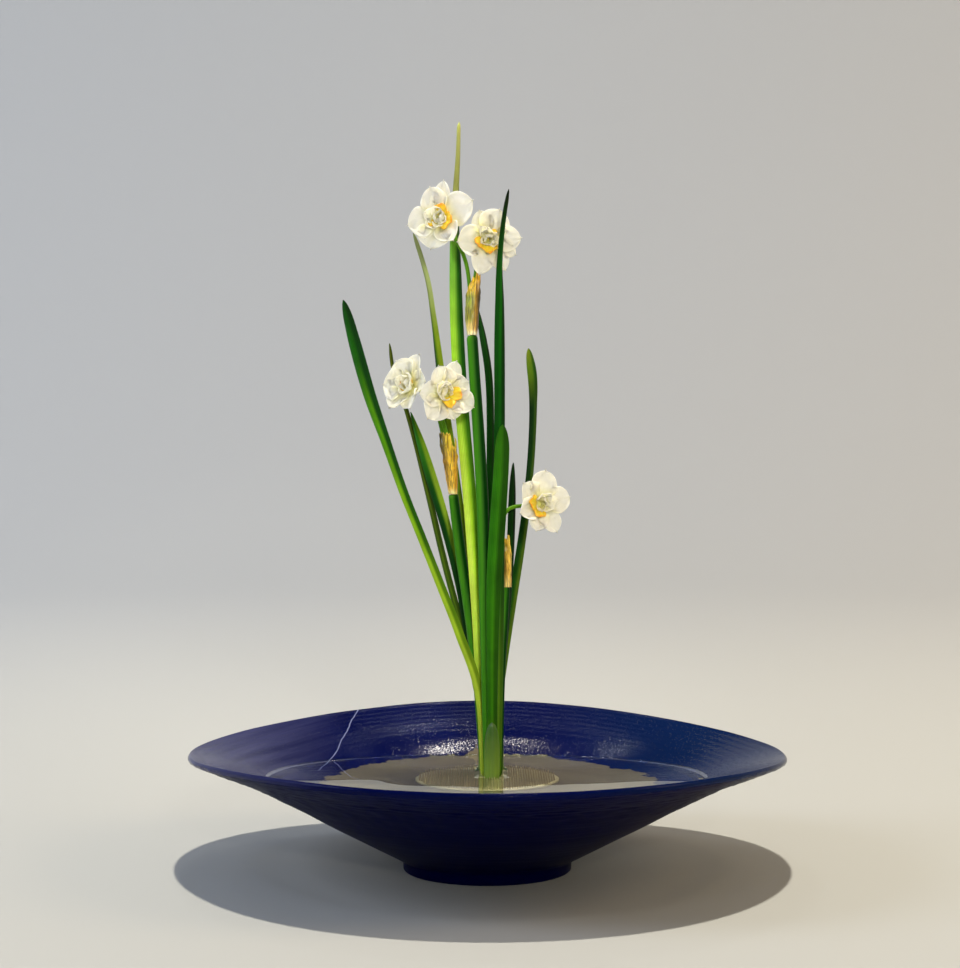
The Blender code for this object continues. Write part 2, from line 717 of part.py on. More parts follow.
def flowers(green, papery, white, yellow):
    """Three flower stems with their papery spathes, carrying two, two and one bloom."""
    blooms = {
        # name: centre, facing, radius, roll
        "a1": ((-0.0284, 0.0250, 0.3962), (-0.25, -0.95, 0.15), 0.0205, 10),
        "a2": ((-0.0004, 0.0310, 0.3840), (0.20, -0.96, 0.08), 0.0192, 35),
        "b1": ((-0.0470, 0.0440, 0.2940), (-0.72, -0.63, 0.25), 0.0183, 0),
        "b2": ((-0.0262, 0.0280, 0.2890), (0.38, -0.90, 0.10), 0.0177, 20),
        "c": ((0.0318, 0.0380, 0.2208), (0.62, -0.78, 0.10), 0.0200, 50),
    }
    for seed, (name, (centre, facing, radius, roll)) in enumerate(blooms.items()):
        bloom(name, white, yellow, centre, facing, radius, roll, seed)
    scape(
        "scape_a",
        green,
        [(0.0012, 0.0416, STEM_FOOT), (-0.0003, 0.0420, 0.107), (-0.0013, 0.0415, 0.152), (-0.0025, 0.0410, 0.212),
         (-0.0043, 0.0402, 0.248), (-0.0058, 0.0396, 0.272), (-0.0077, 0.0389, 0.299), (-0.0094, 0.0383, 0.3255)],
        foot_radius=0.0029,
        radius=0.0038,
        top_radius=0.0034,
        blooms=[
            (blooms["a1"][0], blooms["a1"][1], (-0.0125, 0.0400, 0.3680)),
            (blooms["a2"][0], blooms["a2"][1], (-0.0075, 0.0385, 0.3600)),
        ],
    )
    scape(
        "scape_b",
        green,
        [(-0.0004, 0.0534, STEM_FOOT), (-0.0060, 0.0575, 0.110), (-0.0088, 0.0585, 0.135),
         (-0.0120, 0.0585, 0.158), (-0.0160, 0.0580, 0.184), (-0.0193, 0.0565, 0.209), (-0.0213, 0.0543, 0.226)],
        foot_radius=0.0026,
        radius=0.0036,
        top_radius=0.0031,
        blooms=[
            (blooms["b1"][0], blooms["b1"][1], (-0.0275, 0.0530, 0.2620)),
            (blooms["b2"][0], blooms["b2"][1], (-0.0250, 0.0490, 0.2620)),
        ],
    )
    scape(
        "scape_c",
        green,
        [(0.0072, 0.0502, STEM_FOOT), (0.0092, 0.0512, 0.114), (0.0112, 0.0508, 0.146), (0.0128, 0.0500, 0.172)],
        foot_radius=0.0021,
        radius=0.0024,
        top_radius=0.0018,
        blooms=[(blooms["c"][0], blooms["c"][1], (0.0104, 0.0484, 0.2120))],
    )
    sheath = dict(wall=0.0007, reach=125, rings=5, arc_steps=8)
    split_sheath(
        "spathe_a",
        papery,
        [(-0.0094, 0.0383, 0.3264), (-0.0090, 0.0385, 0.344), (-0.0072, 0.0384, 0.363)],
        radius_at=lambda t: 0.0028 + 0.0014 * math.sin(math.pi * t**0.8),
        facing=-60,
        slope=0.35,
        **sheath,
    )
    split_sheath(
        "spathe_b",
        papery,
        [(-0.0214, 0.0542, 0.2270), (-0.0227, 0.0530, 0.243), (-0.0245, 0.0518, 0.260)],
        radius_at=lambda t: 0.0029 + 0.0022 * t,
        facing=-90,
        slope=0.25,
        **sheath,
    )
    split_sheath(
        "spathe_c",
        papery,
        [(0.0128, 0.0501, 0.168), (0.0123, 0.0495, 0.184), (0.0111, 0.0488, 0.199)],
        radius_at=lambda t: 0.0033,
        facing=-70,
        slope=0.30,
        **sheath,
    )


# ---------------------------------------------------------------------- the arrangement
def main():
    for old in list(bpy.data.objects):
        bpy.data.objects.remove(old)
    glaze = material("cobalt_glaze", (0.012, 0.020, 0.130), 0.25)
    clear = material("water", (0.35, 0.38, 0.38), 0.05)
    brass = material("brass_pins", (0.50, 0.38, 0.18), 0.35, 0.9)
    green = material("leaf_green", (0.060, 0.200, 0.030), 0.45)
    young_green = material("leaf_lime", (0.220, 0.480, 0.040), 0.45)
    blue_green = material("leaf_dark", (0.015, 0.090, 0.035), 0.45)
    pale_green = material("sheath_pale_green", (0.420, 0.580, 0.250), 0.5)
    papery = material("spathe_papery", (0.520, 0.330, 0.090), 0.6)
    white = material("petal_ivory", (0.900, 0.880, 0.740), 0.55)
    yellow = material("corona_yellow", (0.850, 0.450, 0.060), 0.5)

    bowl(glaze)
    water(clear)
    kenzan(brass)
    leaves(green, young_green, blue_green)
    sheaths(pale_green)
    flowers(green, papery, white, yellow)


main()
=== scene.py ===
"""The looks of the ikebana arrangement: narcissus on a pin holder in a wide cobalt bowl of water.

Metres, +Z up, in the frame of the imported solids. Sections follow the arrangement as it is put together: the table
and light, the bowl, the pin holder, the water, then leaves, flower stems, spathes and blooms.
"""

import math

import bmesh
import bpy
from mathutils import Matrix, Vector, noise


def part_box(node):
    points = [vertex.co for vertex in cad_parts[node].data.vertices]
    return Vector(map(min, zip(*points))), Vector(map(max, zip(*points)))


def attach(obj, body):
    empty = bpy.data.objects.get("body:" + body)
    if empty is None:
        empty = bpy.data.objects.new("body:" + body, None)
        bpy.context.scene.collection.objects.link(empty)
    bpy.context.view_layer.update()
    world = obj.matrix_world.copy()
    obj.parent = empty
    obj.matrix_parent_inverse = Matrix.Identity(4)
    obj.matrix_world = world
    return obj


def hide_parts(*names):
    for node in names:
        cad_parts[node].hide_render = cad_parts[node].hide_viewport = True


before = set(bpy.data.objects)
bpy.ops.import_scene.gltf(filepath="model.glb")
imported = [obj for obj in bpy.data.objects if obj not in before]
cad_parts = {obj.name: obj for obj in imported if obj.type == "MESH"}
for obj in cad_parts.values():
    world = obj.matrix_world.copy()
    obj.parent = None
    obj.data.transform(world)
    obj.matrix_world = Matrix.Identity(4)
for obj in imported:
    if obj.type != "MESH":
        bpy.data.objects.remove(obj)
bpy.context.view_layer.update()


# ---------------------------------------------------------------- table, light and camera
# A seamless pale sweep of matt card, laid flat under the bowl and curved up all round. One lamp hangs nearly overhead,
# a spot lights the flowers from the front and a weak lamp behind wakes glints in the glaze. Two large boxes, cool on
# the left and warm on the right, soften the shade, and a ring of lamps washes the sweep.
def linear(code):
    """The linear colour of an sRGB hex code, with an alpha of 1."""
    parts = [int(code[i : i + 2], 16) / 255 for i in (1, 3, 5)]
    return tuple(c / 12.92 if c <= 0.04045 else ((c + 0.055) / 1.055) ** 2.4 for c in parts) + (1.0,)


def node(tree, kind, inputs=None, **settings):
    """Adds a shader node. Settings are its properties; inputs are plain values or the sockets that feed them."""
    made = tree.nodes.new("ShaderNode" + kind)
    for name, value in settings.items():
        setattr(made, name, value)
    for key, value in (inputs or {}).items():
        if isinstance(value, bpy.types.NodeSocket):
            tree.links.new(value, made.inputs[key])
        else:
            made.inputs[key].default_value = value
    return made


def new_material(name):
    """A material, its cleared tree and the input of its output, ready for a shader."""
    made = bpy.data.materials.new(name)
    made.use_nodes = True
    made.node_tree.nodes.clear()
    output = made.node_tree.nodes.new("ShaderNodeOutputMaterial")
    return made, made.node_tree, output.inputs["Surface"]


def new_piece(name, bm, *materials):
    """Turns a bmesh into a piece at the origin, shaded smooth except at sharp edges."""
    mesh = bpy.data.meshes.new(name)
    bm.to_mesh(mesh)
    bm.free()
    for made in materials:
        mesh.materials.append(made)
    mesh.shade_smooth()
    mesh.set_sharp_from_angle(angle=math.radians(50))
    piece = bpy.data.objects.new(name, mesh)
    bpy.context.scene.collection.objects.link(piece)
    return piece


def turned(profile, steps, merge):
    """A bmesh of a profile of radius and height, turned round the Z axis and merged where it meets itself."""
    bm = bmesh.new()
    corners = [bm.verts.new((radius, 0, height)) for radius, height in profile]
    edges = [bm.edges.new(pair) for pair in zip(corners, corners[1:])]
    circle = dict(cent=(0, 0, 0), axis=(0, 0, 1), angle=2 * math.pi, steps=steps, use_merge=True)
    bmesh.ops.spin(bm, geom=corners + edges, **circle)
    bmesh.ops.remove_doubles(bm, verts=bm.verts, dist=merge)
    bmesh.ops.recalc_face_normals(bm, faces=bm.faces)
    return bm


def matt_card():
    """Matt card: fine paper fibres that scatter light evenly, without a sheen."""
    card, tree, surface = new_material("matt_card")
    shader = node(tree, "BsdfPrincipled", {"Base Color": linear("#BFC0B9"), "Roughness": 0.8})
    tree.links.new(shader.outputs[0], surface)
    return card


SWEEP_FLAT = 2.2  # how far the card lies flat
SWEEP_CURVE = 2.6  # radius of its bend from table to wall
SWEEP_TOP = 3.0  # height of the wall

bend = [math.radians(4.5 * k) for k in range(1, 21)]
profile = [(0.0, 0.0), (0.6, 0.0), (SWEEP_FLAT, 0.0)]
profile += [(SWEEP_FLAT + SWEEP_CURVE * math.sin(a), SWEEP_CURVE * (1 - math.cos(a))) for a in bend]
profile += [(SWEEP_FLAT + SWEEP_CURVE, SWEEP_TOP)]
bm = turned(profile, 96, merge=0.0001)
if bm.faces[0].normal.z < 0:
    bmesh.ops.reverse_faces(bm, faces=bm.faces)
sweep = new_piece("pale_sweep", bm, matt_card())


def lamp(kind, name, place, aim, strength, colour, **settings):
    """A lamp of Blender's kind at a place, turned to what it lights."""
    made = bpy.data.lights.new(name, kind)
    made.energy = strength
    made.color = linear(colour)[:3]
    for key, value in settings.items():
        setattr(made, key, value)
    holder = bpy.data.objects.new(name, made)
    holder.location = place
    holder.rotation_euler = (Vector(aim) - Vector(place)).to_track_quat("-Z", "Y").to_euler()
    bpy.context.scene.collection.objects.link(holder)


BOWL_AIM = (0.0, 0.0, 0.1)
BLOOM_AIM = (-0.005, 0.04, 0.26)
GLINT_AIM = (0.045, 0.16, 0.065)
WASHES = 8
WASH_FROM, WASH_TO = (1.9, 3.0), (4.5, 1.2)  # distance from the axis and height

lamp("AREA", "overhead_lamp", (0.10, 0.14, 2.4), BOWL_AIM, 46.0, "#FFF7EA", shape="DISK", size=0.09)
lamp(
    "SPOT", "flower_lamp", (0.22, -1.60, 0.66), BLOOM_AIM, 64.0, "#FFF8EC",
    spot_size=math.radians(17), spot_blend=0.5, shadow_soft_size=0.10,
)
lamp("AREA", "left_box", (-2.3, -0.4, 1.6), BOWL_AIM, 26.0, "#DCE6FF", shape="DISK", size=1.2)
lamp("AREA", "right_box", (2.3, -0.4, 1.6), BOWL_AIM, 18.0, "#FFE2BC", shape="DISK", size=1.2)
for k in range(WASHES):
    a = 2 * math.pi * k / WASHES
    out = Vector((math.cos(a), math.sin(a), 0))
    wash = ("#E6EAFA", "#FFE6C8", "#C8D8FF")[(out.x > 0.1) - (out.x < -0.1)]  # middle, right or left
    place, aim = (out * reach + Vector((0, 0, height)) for reach, height in (WASH_FROM, WASH_TO))
    lamp("AREA", f"wash_lamp_{k}", place, aim, 40.0, wash, shape="DISK", size=1.0)
lamp("AREA", "glint_lamp", (-0.14, 0.84, 1.5), GLINT_AIM, 0.9, "#FFFFFF", shape="DISK", size=0.03)

world = bpy.data.worlds.new("room")
world.use_nodes = True
world.node_tree.nodes["Background"].inputs["Color"].default_value = linear("#E4E6EE")
world.node_tree.nodes["Background"].inputs["Strength"].default_value = 0.11
bpy.context.scene.world = world
bpy.context.scene.view_settings.view_transform = "Standard"

EYE = (-0.0044, -1.335, 0.273)
EYE_DIP = 0.029  # how far the camera looks down, in radians

lens = bpy.data.cameras.new("camera")
lens.lens = 82.0
lens.sensor_width = 36.0
lens.clip_start = 0.01
camera = bpy.data.objects.new("camera", lens)
camera.location = EYE
camera.rotation_euler = (math.pi / 2 - EYE_DIP, 0, 0)
bpy.context.scene.collection.objects.link(camera)
bpy.context.scene.camera = camera


# ---------------------------------------------------------------- bowl
# Thrown and turned stoneware, fired with a dark cobalt glaze that leaves the well bare and oatmeal-coloured. The wall
# is a straight cone with a small flare, sagged a little out of round, and it keeps the rings of the thrower's fingers.
FLOOR_RADIUS, FLOOR_HEIGHT = 0.0845, 0.030
RIM_RADIUS, RIM_HEIGHT = 0.180, 0.074
FOOT_RADIUS = 0.050
WARP_START, WARP_FULL = 0.088, 0.140  # the sag of the rim sets in between these radii
WELL_MIDDLE, WELL_RADIUS = (0.0, 0.012, 0.0), 0.1035  # the glaze line round the bare well isn't quite centred
PALE_LINE_SIDE, PALE_LINE_DISTANCE = (0.9797, -0.2006, 0.0), 0.1172  # the upright plane of the fine pale line down the left wall
PALE_LINE_CORE, PALE_LINE_HALF = 0.00018, 0.0005  # half the width of its full colour and of all of it

inside_line = [
    (FLOOR_RADIUS, FLOOR_HEIGHT),
    (0.090, 0.0324),
    (0.113, 0.0448),
    (0.136, 0.0571),
    (0.150, 0.0637),
    (0.164, 0.0690),
    (0.1775, RIM_HEIGHT - 0.0003),
]
outside_line = [
    (0.1788, RIM_HEIGHT + 0.0002),
    (RIM_RADIUS, RIM_HEIGHT - 0.0014),
    (0.1795, RIM_HEIGHT - 0.0032),
    (0.164, 0.0643),
    (0.150, 0.0588),
    (0.136, 0.0520),
    (0.100, 0.0326),
    (0.0545, 0.0082),
    (0.0512, 0.0056),
    (0.0510, 0.0010),
    (FOOT_RADIUS, 0.0),
]


def smoothstep(low, high, value):
    f = min(max((value - low) / (high - low), 0.0), 1.0)
    return f * f * (3 - 2 * f)


def along_curve(knots, steps):
    """Points at equal steps of parameter on a smooth curve through the knots."""
    knots = [Vector(k) for k in knots]
    last = len(knots) - 1
    spans = [(max(i - 1, 0), min(i + 1, last)) for i in range(last + 1)]
    slopes = [(knots[after] - knots[before]) / (after - before) for before, after in spans]
    path = []
    for step in range(steps + 1):
        i = min(int(step / steps * last), last - 1)
        f = step / steps * last - i
        path.append(
            knots[i] * (2 * f**3 - 3 * f**2 + 1)
            + slopes[i] * (f**3 - 2 * f**2 + f)
            + knots[i + 1] * (3 * f**2 - 2 * f**3)
            + slopes[i + 1] * (f**3 - f**2)
        )
    return path


def warped(radius, angle, height):
    """Where the sagging of the rim has taken a point of the round bowl."""
    share = smoothstep(WARP_START, WARP_FULL, radius) * radius / RIM_RADIUS
    rise = -0.0049 * math.cos(2 * angle) - 0.0027 * math.sin(3 * angle)
    spread = -0.0006 + 0.0046 * math.cos(2 * angle) - 0.0018 * math.cos(4 * angle)
    spread += 0.0072 * math.sin(3 * angle) - 0.0019 * math.sin(2 * angle)
    reach = radius + share * spread
    return Vector((reach * math.cos(angle), reach * math.sin(angle), height + share * rise))


def object_axes(tree):
    """The Object coordinate and its three parts, in metres."""
    place = node(tree, "TexCoord").outputs["Object"]
    parts = node(tree, "SeparateXYZ", {0: place})
    return place, parts.outputs[0], parts.outputs[1], parts.outputs[2]


def throwing_rings(tree, x, y, rings, breaks, detail, roughness):
    """The place on the flat, and noise drawn out round the axis.

    rings is the noise's scale on the radius, and breaks, far lower, the one that ends a ring on its way round.
    """
    flat = node(tree, "CombineXYZ", {0: x, 1: y, 2: 0.0}).outputs[0]
    radius = node(tree, "VectorMath", {0: flat}, operation="LENGTH").outputs["Value"]
    drawn_out = node(tree, "CombineXYZ", {
        0: node(tree, "Math", {0: radius, 1: rings}, operation="MULTIPLY").outputs[0],
        1: node(tree, "Math", {0: x, 1: breaks}, operation="MULTIPLY").outputs[0],
        2: node(tree, "Math", {0: y, 1: breaks}, operation="MULTIPLY").outputs[0],
    }).outputs[0]
    streak = {"Vector": drawn_out, "Scale": 1.0, "Detail": detail, "Roughness": roughness}
    return flat, node(tree, "TexNoise", streak).outputs[0]


def glaze_inside():
    """Cobalt glaze: a glassy coat over deep blue that pools darker and breaks paler and streaky where it ran thin,
    with a reflection painted into the pale patch on the left wall.
    """
    made, tree, surface = new_material("cobalt_glaze_inside")
    place, x, y, _ = object_axes(tree)
    flat, streak = throwing_rings(tree, x, y, rings=160.0, breaks=9.0, detail=4.0, roughness=0.6)
    broad = node(tree, "TexNoise", {"Vector": place, "Scale": 14.0, "Detail": 3.0}).outputs[0]
    grain = node(tree, "TexNoise", {"Vector": place, "Scale": 700.0, "Detail": 2.0}).outputs[0]
    # the paler, lavender run of glaze on the left wall, which also paints the glossy wall's reflection of the bright
    # backdrop
    to_left = {0: x, 1: -0.075, 2: -0.165, 3: 0.0, 4: 1.0}
    left = node(tree, "MapRange", to_left, interpolation_type="SMOOTHSTEP").outputs[0]
    pale_glaze_and_reflection = node(tree, "Math", {0: left, 1: streak}, operation="MULTIPLY").outputs[0]
    pale_glaze_and_reflection = node(tree, "MapRange", {0: pale_glaze_and_reflection, 1: 0.05, 2: 0.60, 3: 0.0, 4: 0.75}).outputs[0]
    # the pools, which look greener on the right
    deep = node(tree, "Mix", {0: broad, 6: linear("#00032A"), 7: linear("#030C46")}, data_type="RGBA").outputs[2]
    to_right = {0: x, 1: 0.03, 2: 0.15, 3: 0.0, 4: 0.8}
    right = node(tree, "MapRange", to_right, interpolation_type="SMOOTHSTEP").outputs[0]
    deep = node(tree, "Mix", {0: right, 6: deep, 7: linear("#06204A")}, data_type="RGBA").outputs[2]
    blue = node(tree, "Mix", {0: pale_glaze_and_reflection, 6: deep, 7: linear("#46486E")}, data_type="RGBA").outputs[2]
    # the bare well, whose glaze line is ragged
    from_well = node(tree, "VectorMath", {0: flat, 1: WELL_MIDDLE}, operation="DISTANCE").outputs["Value"]
    ragged = node(tree, "TexNoise", {"Vector": flat, "Scale": 45.0, "Detail": 4.0, "Roughness": 0.65}).outputs[0]
    edge = node(tree, "MapRange", {0: ragged, 1: 0.3, 2: 0.7, 3: -0.006, 4: 0.006}).outputs[0]
    reach = node(tree, "Math", {0: from_well, 1: edge}, operation="ADD").outputs[0]
    past_edge = {0: reach, 1: WELL_RADIUS - 0.001, 2: WELL_RADIUS + 0.001, 3: 0.0, 4: 1.0}
    glazed = node(tree, "MapRange", past_edge, interpolation_type="SMOOTHSTEP").outputs[0]
    clay = node(tree, "Mix", {0: broad, 6: linear("#5E5746"), 7: linear("#7A705A")}, data_type="RGBA").outputs[2]
    colour = node(tree, "Mix", {0: glazed, 6: clay, 7: blue}, data_type="RGBA").outputs[2]
    # a fine pale line down the left wall, behind the middle
    sideways = node(tree, "VectorMath", {0: place, 1: PALE_LINE_SIDE}, operation="DOT_PRODUCT").outputs["Value"]
    wander = node(tree, "TexNoise", {"Vector": place, "Scale": 40.0, "Detail": 2.0}).outputs[0]
    wander = node(tree, "MapRange", {0: wander, 1: 0.0, 2: 1.0, 3: -0.0025, 4: 0.0025}).outputs[0]
    off = node(tree, "Math", {0: sideways, 1: wander}, operation="ADD").outputs[0]
    off = node(tree, "Math", {0: off, 1: PALE_LINE_DISTANCE}, operation="ADD").outputs[0]
    off = node(tree, "Math", {0: off}, operation="ABSOLUTE").outputs[0]
    on_pale_line = node(tree, "MapRange", {0: off, 1: PALE_LINE_CORE, 2: PALE_LINE_HALF, 3: 1.0, 4: 0.0}).outputs[0]
    behind = node(tree, "MapRange", {0: y, 1: 0.055, 2: 0.065, 3: 0.0, 4: 0.8}).outputs[0]
    pale_line = node(tree, "Math", {0: on_pale_line, 1: behind}, operation="MULTIPLY").outputs[0]
    colour = node(tree, "Mix", {0: pale_line, 6: colour, 7: linear("#7C84AC")}, data_type="RGBA").outputs[2]
    # the rings stand a little proud, and the grain of the clay shows through
    height = node(tree, "Math", {0: streak, 1: grain}, operation="ADD").outputs[0]
    bump = node(tree, "Bump", {"Height": height, "Distance": 0.0003, "Strength": 0.35}).outputs[0]
    # pinholes and dust under the glaze, that sparkle where a lamp is near the mirror angle
    dust = node(tree, "TexVoronoi", {"Vector": place, "Scale": 520.0}).outputs["Distance"]
    dust = node(tree, "MapRange", {0: dust, 1: 0.0, 2: 0.35, 3: 1.0, 4: 0.0}).outputs[0]
    bump = node(tree, "Bump", {"Height": dust, "Distance": 0.0004, "Strength": 0.30, "Normal": bump}).outputs[0]
    rough = node(tree, "MapRange", {0: glazed, 1: 0.0, 2: 1.0, 3: 0.55, 4: 0.14}).outputs[0]
    shader = node(tree, "BsdfPrincipled", {
        "Base Color": colour, "Roughness": rough, "Normal": bump, "IOR": 1.52, "Specular IOR Level": 0.045,
    })
    tree.links.new(shader.outputs[0], surface)
    return made


def glaze_outside():
    """The same glaze where it ran thick and nearly black down the outside, over the turned clay."""
    made, tree, surface = new_material("cobalt_glaze_outside")
    _, x, y, z = object_axes(tree)
    _, streak = throwing_rings(tree, x, y, rings=220.0, breaks=12.0, detail=5.0, roughness=0.65)
    to_rim = {0: z, 1: 0.062, 2: 0.078, 3: 0.0, 4: 1.0}
    thin = node(tree, "MapRange", to_rim, interpolation_type="SMOOTHSTEP").outputs[0]
    thin = node(tree, "Math", {0: thin, 1: streak}, operation="MULTIPLY").outputs[0]
    colour = node(tree, "Mix", {0: thin, 6: linear("#000234"), 7: linear("#04124E")}, data_type="RGBA").outputs[2]
    bump = node(tree, "Bump", {"Height": streak, "Distance": 0.0005, "Strength": 0.6}).outputs[0]
    shader = node(tree, "BsdfPrincipled", {
        "Base Color": colour, "Roughness": 0.34, "Normal": bump, "IOR": 1.5, "Specular IOR Level": 0.02,
    })
    tree.links.new(shader.outputs[0], surface)
    return made


def bare_clay():
    """Wiped stoneware on the sole of the foot: matt, sandy, with the turning tool's rings."""
    made, tree, surface = new_material("bare_stoneware")
    place = object_axes(tree)[0]
    sand = node(tree, "TexNoise", {"Vector": place, "Scale": 900.0, "Detail": 2.0}).outputs[0]
    colour = node(tree, "Mix", {0: sand, 6: linear("#5E4B3A"), 7: linear("#8A745B")}, data_type="RGBA").outputs[2]
    waves = {"Vector": place, "Scale": 130.0, "Distortion": 1.0}
    grooves = node(tree, "TexWave", waves, wave_type="RINGS", rings_direction="Z").outputs[1]
    bump = node(tree, "Bump", {"Height": grooves, "Distance": 0.0002, "Strength": 0.5}).outputs[0]
    shader = node(tree, "BsdfPrincipled", {"Base Color": colour, "Roughness": 0.85, "Normal": bump})
    tree.links.new(shader.outputs[0], surface)
    return made


BOWL_TURNS = 288
LIP_RADIUS = 0.1795  # past it the inside glaze runs over the lip
CHATTER = 0.00045  # height of the chatter marks under the flare
THROWN = 0.00012  # height of the throwing rings
THROWN_PITCH = 1250  # radians of ring per metre of radius

inside_path = [Vector((FLOOR_RADIUS * k / 6, FLOOR_HEIGHT)) for k in range(6)]
inside_path += along_curve(inside_line, 48)
lip_path = along_curve([inside_line[-1]] + outside_line[:3], 9)[1:]
outside_path = along_curve(outside_line[2:8], 44)[1:] + [Vector(p) for p in outside_line[8:]]
sole_path = [Vector((FOOT_RADIUS * k / 4, 0.0)) for k in (3, 2, 1, 0)]
bowl_path = inside_path + lip_path + outside_path + sole_path

bm = turned(bowl_path, BOWL_TURNS, merge=0.00001)
for face in bm.faces:
    middle = face.calc_center_median()
    if face.normal.z > 0.0 or math.hypot(middle.x, middle.y) > LIP_RADIUS:
        face.material_index = 0
    elif middle.z < 0.00001:
        face.material_index = 2
    else:
        face.material_index = 1
for vert in bm.verts:
    x, y, z = vert.co
    radius, angle = math.hypot(x, y), math.atan2(y, x)
    wobble = 2.0 * noise.noise(Vector((x, y, z)) * 30)
    raised = math.sin(radius * THROWN_PITCH + wobble) * THROWN * smoothstep(0.088, 0.1, radius)
    if vert.normal.z < 0 and z > 0.0005:
        marks = noise.noise(Vector((x * 140, y * 140, z * 500)))
        raised += marks * CHATTER * smoothstep(0.105, 0.135, radius)
    vert.co = warped(radius, angle, z) + vert.normal * raised
bowl = new_piece("glazed_bowl", bm, glaze_inside(), glaze_outside(), bare_clay())
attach(bowl, "root")
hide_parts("bowl")


# ---------------------------------------------------------------- pin holder
# A kenzan: a disc of cast lead, gone grey, set with rows of sharp brass pins on which the stems are pressed. It stands
# loose on the bowl's floor, and its pins end just under the water.
kenzan_low, kenzan_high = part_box("kenzan")
kenzan_middle = (kenzan_low + kenzan_high) / 2
kenzan_radius = (kenzan_high.x - kenzan_low.x) / 2
PLATE, PLATE_BEVEL = 0.005, 0.0008
PIN_PITCH = 0.0031
PIN_RADIUS, TIP_RADIUS = 0.00052, 0.00006
PIN_TAPER = 0.92  # how wide a pin still is where its point begins
PIN_POINT = 0.0035  # length of the point
PIN_SUNK = 0.0005  # how deep the pins go into the plate
BARE_EDGE = 0.0018  # width of the plate round the pins
BUNCH_LOW, BUNCH_HIGH = (-0.0063, 0.0308), (0.0117, 0.0795)  # the bunch stands on the pins in here


def dull_metal(name, scale, detail, dark, pale, roughness):
    """Lead or brass that has lain in water: a mottled film of tarnish, so it shines only faintly."""
    made, tree, surface = new_material(name)
    place = object_axes(tree)[0]
    film = node(tree, "TexNoise", {"Vector": place, "Scale": scale, "Detail": detail}).outputs[0]
    colour = node(tree, "Mix", {0: film, 6: linear(dark), 7: linear(pale)}, data_type="RGBA").outputs[2]
    shader = node(tree, "BsdfPrincipled", {"Base Color": colour, "Roughness": roughness, "Metallic": 0.3})
    tree.links.new(shader.outputs[0], surface)
    return made


bm = bmesh.new()
plate_place = Matrix.Translation((kenzan_middle.x, kenzan_middle.y, kenzan_low.z + PLATE / 2))
bmesh.ops.create_cone(
    bm, cap_ends=True, segments=96, radius1=kenzan_radius, radius2=kenzan_radius, depth=PLATE, matrix=plate_place
)
edges = [e for e in bm.edges if e.calc_face_angle(0) > 1.0]
bmesh.ops.bevel(
    bm, geom=edges, offset=PLATE_BEVEL, offset_type="OFFSET", segments=2, profile=0.5, affect="EDGES", material=-1
)
row_step = PIN_PITCH * math.sqrt(3) / 2
rows = int(kenzan_radius / row_step)
pin_foot = kenzan_low.z + PLATE - PIN_SUNK
point_foot = kenzan_high.z - PIN_POINT
for row in range(-rows, rows + 1):
    for column in range(-rows - 2, rows + 3):
        x = kenzan_middle.x + (column + (row % 2) / 2) * PIN_PITCH
        y = kenzan_middle.y + row * row_step
        inside = math.hypot(x - kenzan_middle.x, y - kenzan_middle.y) < kenzan_radius - BARE_EDGE
        in_bunch = BUNCH_LOW[0] < x < BUNCH_HIGH[0] and BUNCH_LOW[1] < y < BUNCH_HIGH[1]
        if not inside or in_bunch:
            continue
        for low, high, wide, narrow in (
            (pin_foot, point_foot, PIN_RADIUS, PIN_RADIUS * PIN_TAPER),
            (point_foot, kenzan_high.z, PIN_RADIUS * PIN_TAPER, TIP_RADIUS),
        ):
            shape = dict(segments=6, radius1=wide, radius2=narrow, depth=high - low)
            place = Matrix.Translation((x, y, (high + low) / 2))
            made = bmesh.ops.create_cone(bm, cap_ends=False, matrix=place, **shape)
            for vert in made["verts"]:
                for face in vert.link_faces:
                    face.material_index = 1
bmesh.ops.remove_doubles(bm, verts=bm.verts, dist=0.00001)
lead = dull_metal("cast_lead", 160.0, 4.0, "#A49A74", "#C4B88A", 0.6)
brass = dull_metal("drawn_brass", 300.0, 2.0, "#AE9E72", "#D6C698", 0.45)
kenzan = new_piece("pin_holder", bm, lead, brass)
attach(kenzan, "root")
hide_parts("kenzan")


# ---------------------------------------------------------------- water
# Still, clear water, two centimetres deep. It climbs the wall and the stems in a fine meniscus, and lets light through
# to the well, which it seems to lift close under the surface.
water_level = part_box("water")[1].z
CLIMB, CLIMB_REACH = 0.0010, 0.0016  # how far the meniscus climbs the wall and how far out it reaches
STEM_CLIMB, STEM_REACH = 0.0006, 0.0014  # the same at the stems
RIPPLE, SWIRL = 0.00016, 0.00022  # heights of the ripples, and of the rings round the bunch
INTO_WALL = 0.0003  # the water goes this far into the bowl, so that no gap shows
EDGE_COUNT = 256
BUNCH_HALF = (0.0082, 0.0225)  # half the width and depth of the bunch at the surface
bunch_centre = Vector((0.0028, 0.052, water_level))


def loft(bm, rings):
    """Extrudes a circle of vertices ring by ring through lists of points, and caps both ends."""
    count = len(rings[0])
    first = bmesh.ops.create_circle(bm, cap_ends=False, radius=1.0, segments=count)["verts"]
    edges = list({e for v in first for e in v.link_edges})
    rows = [first]
    for _ in rings[1:]:
        grown = bmesh.ops.extrude_edge_only(bm, edges=edges)["geom"]
        edges = [g for g in grown if isinstance(g, bmesh.types.BMEdge) and g.is_boundary]
        fresh = [g for g in grown if isinstance(g, bmesh.types.BMVert)]
        partner = {}
        for vert in fresh:
            for e in vert.link_edges:
                other = e.other_vert(vert)
                if other not in fresh:
                    partner[other] = vert
        rows.append([partner[v] for v in rows[-1]])
        edges = [e for e in edges if e.verts[0] in fresh and e.verts[1] in fresh]
    for row, ring in zip(rows, rings):
        for vert, point in zip(row, ring):
            vert.co = point
    for row in (rows[0], rows[-1]):
        bm.faces.new(row)
    return rows


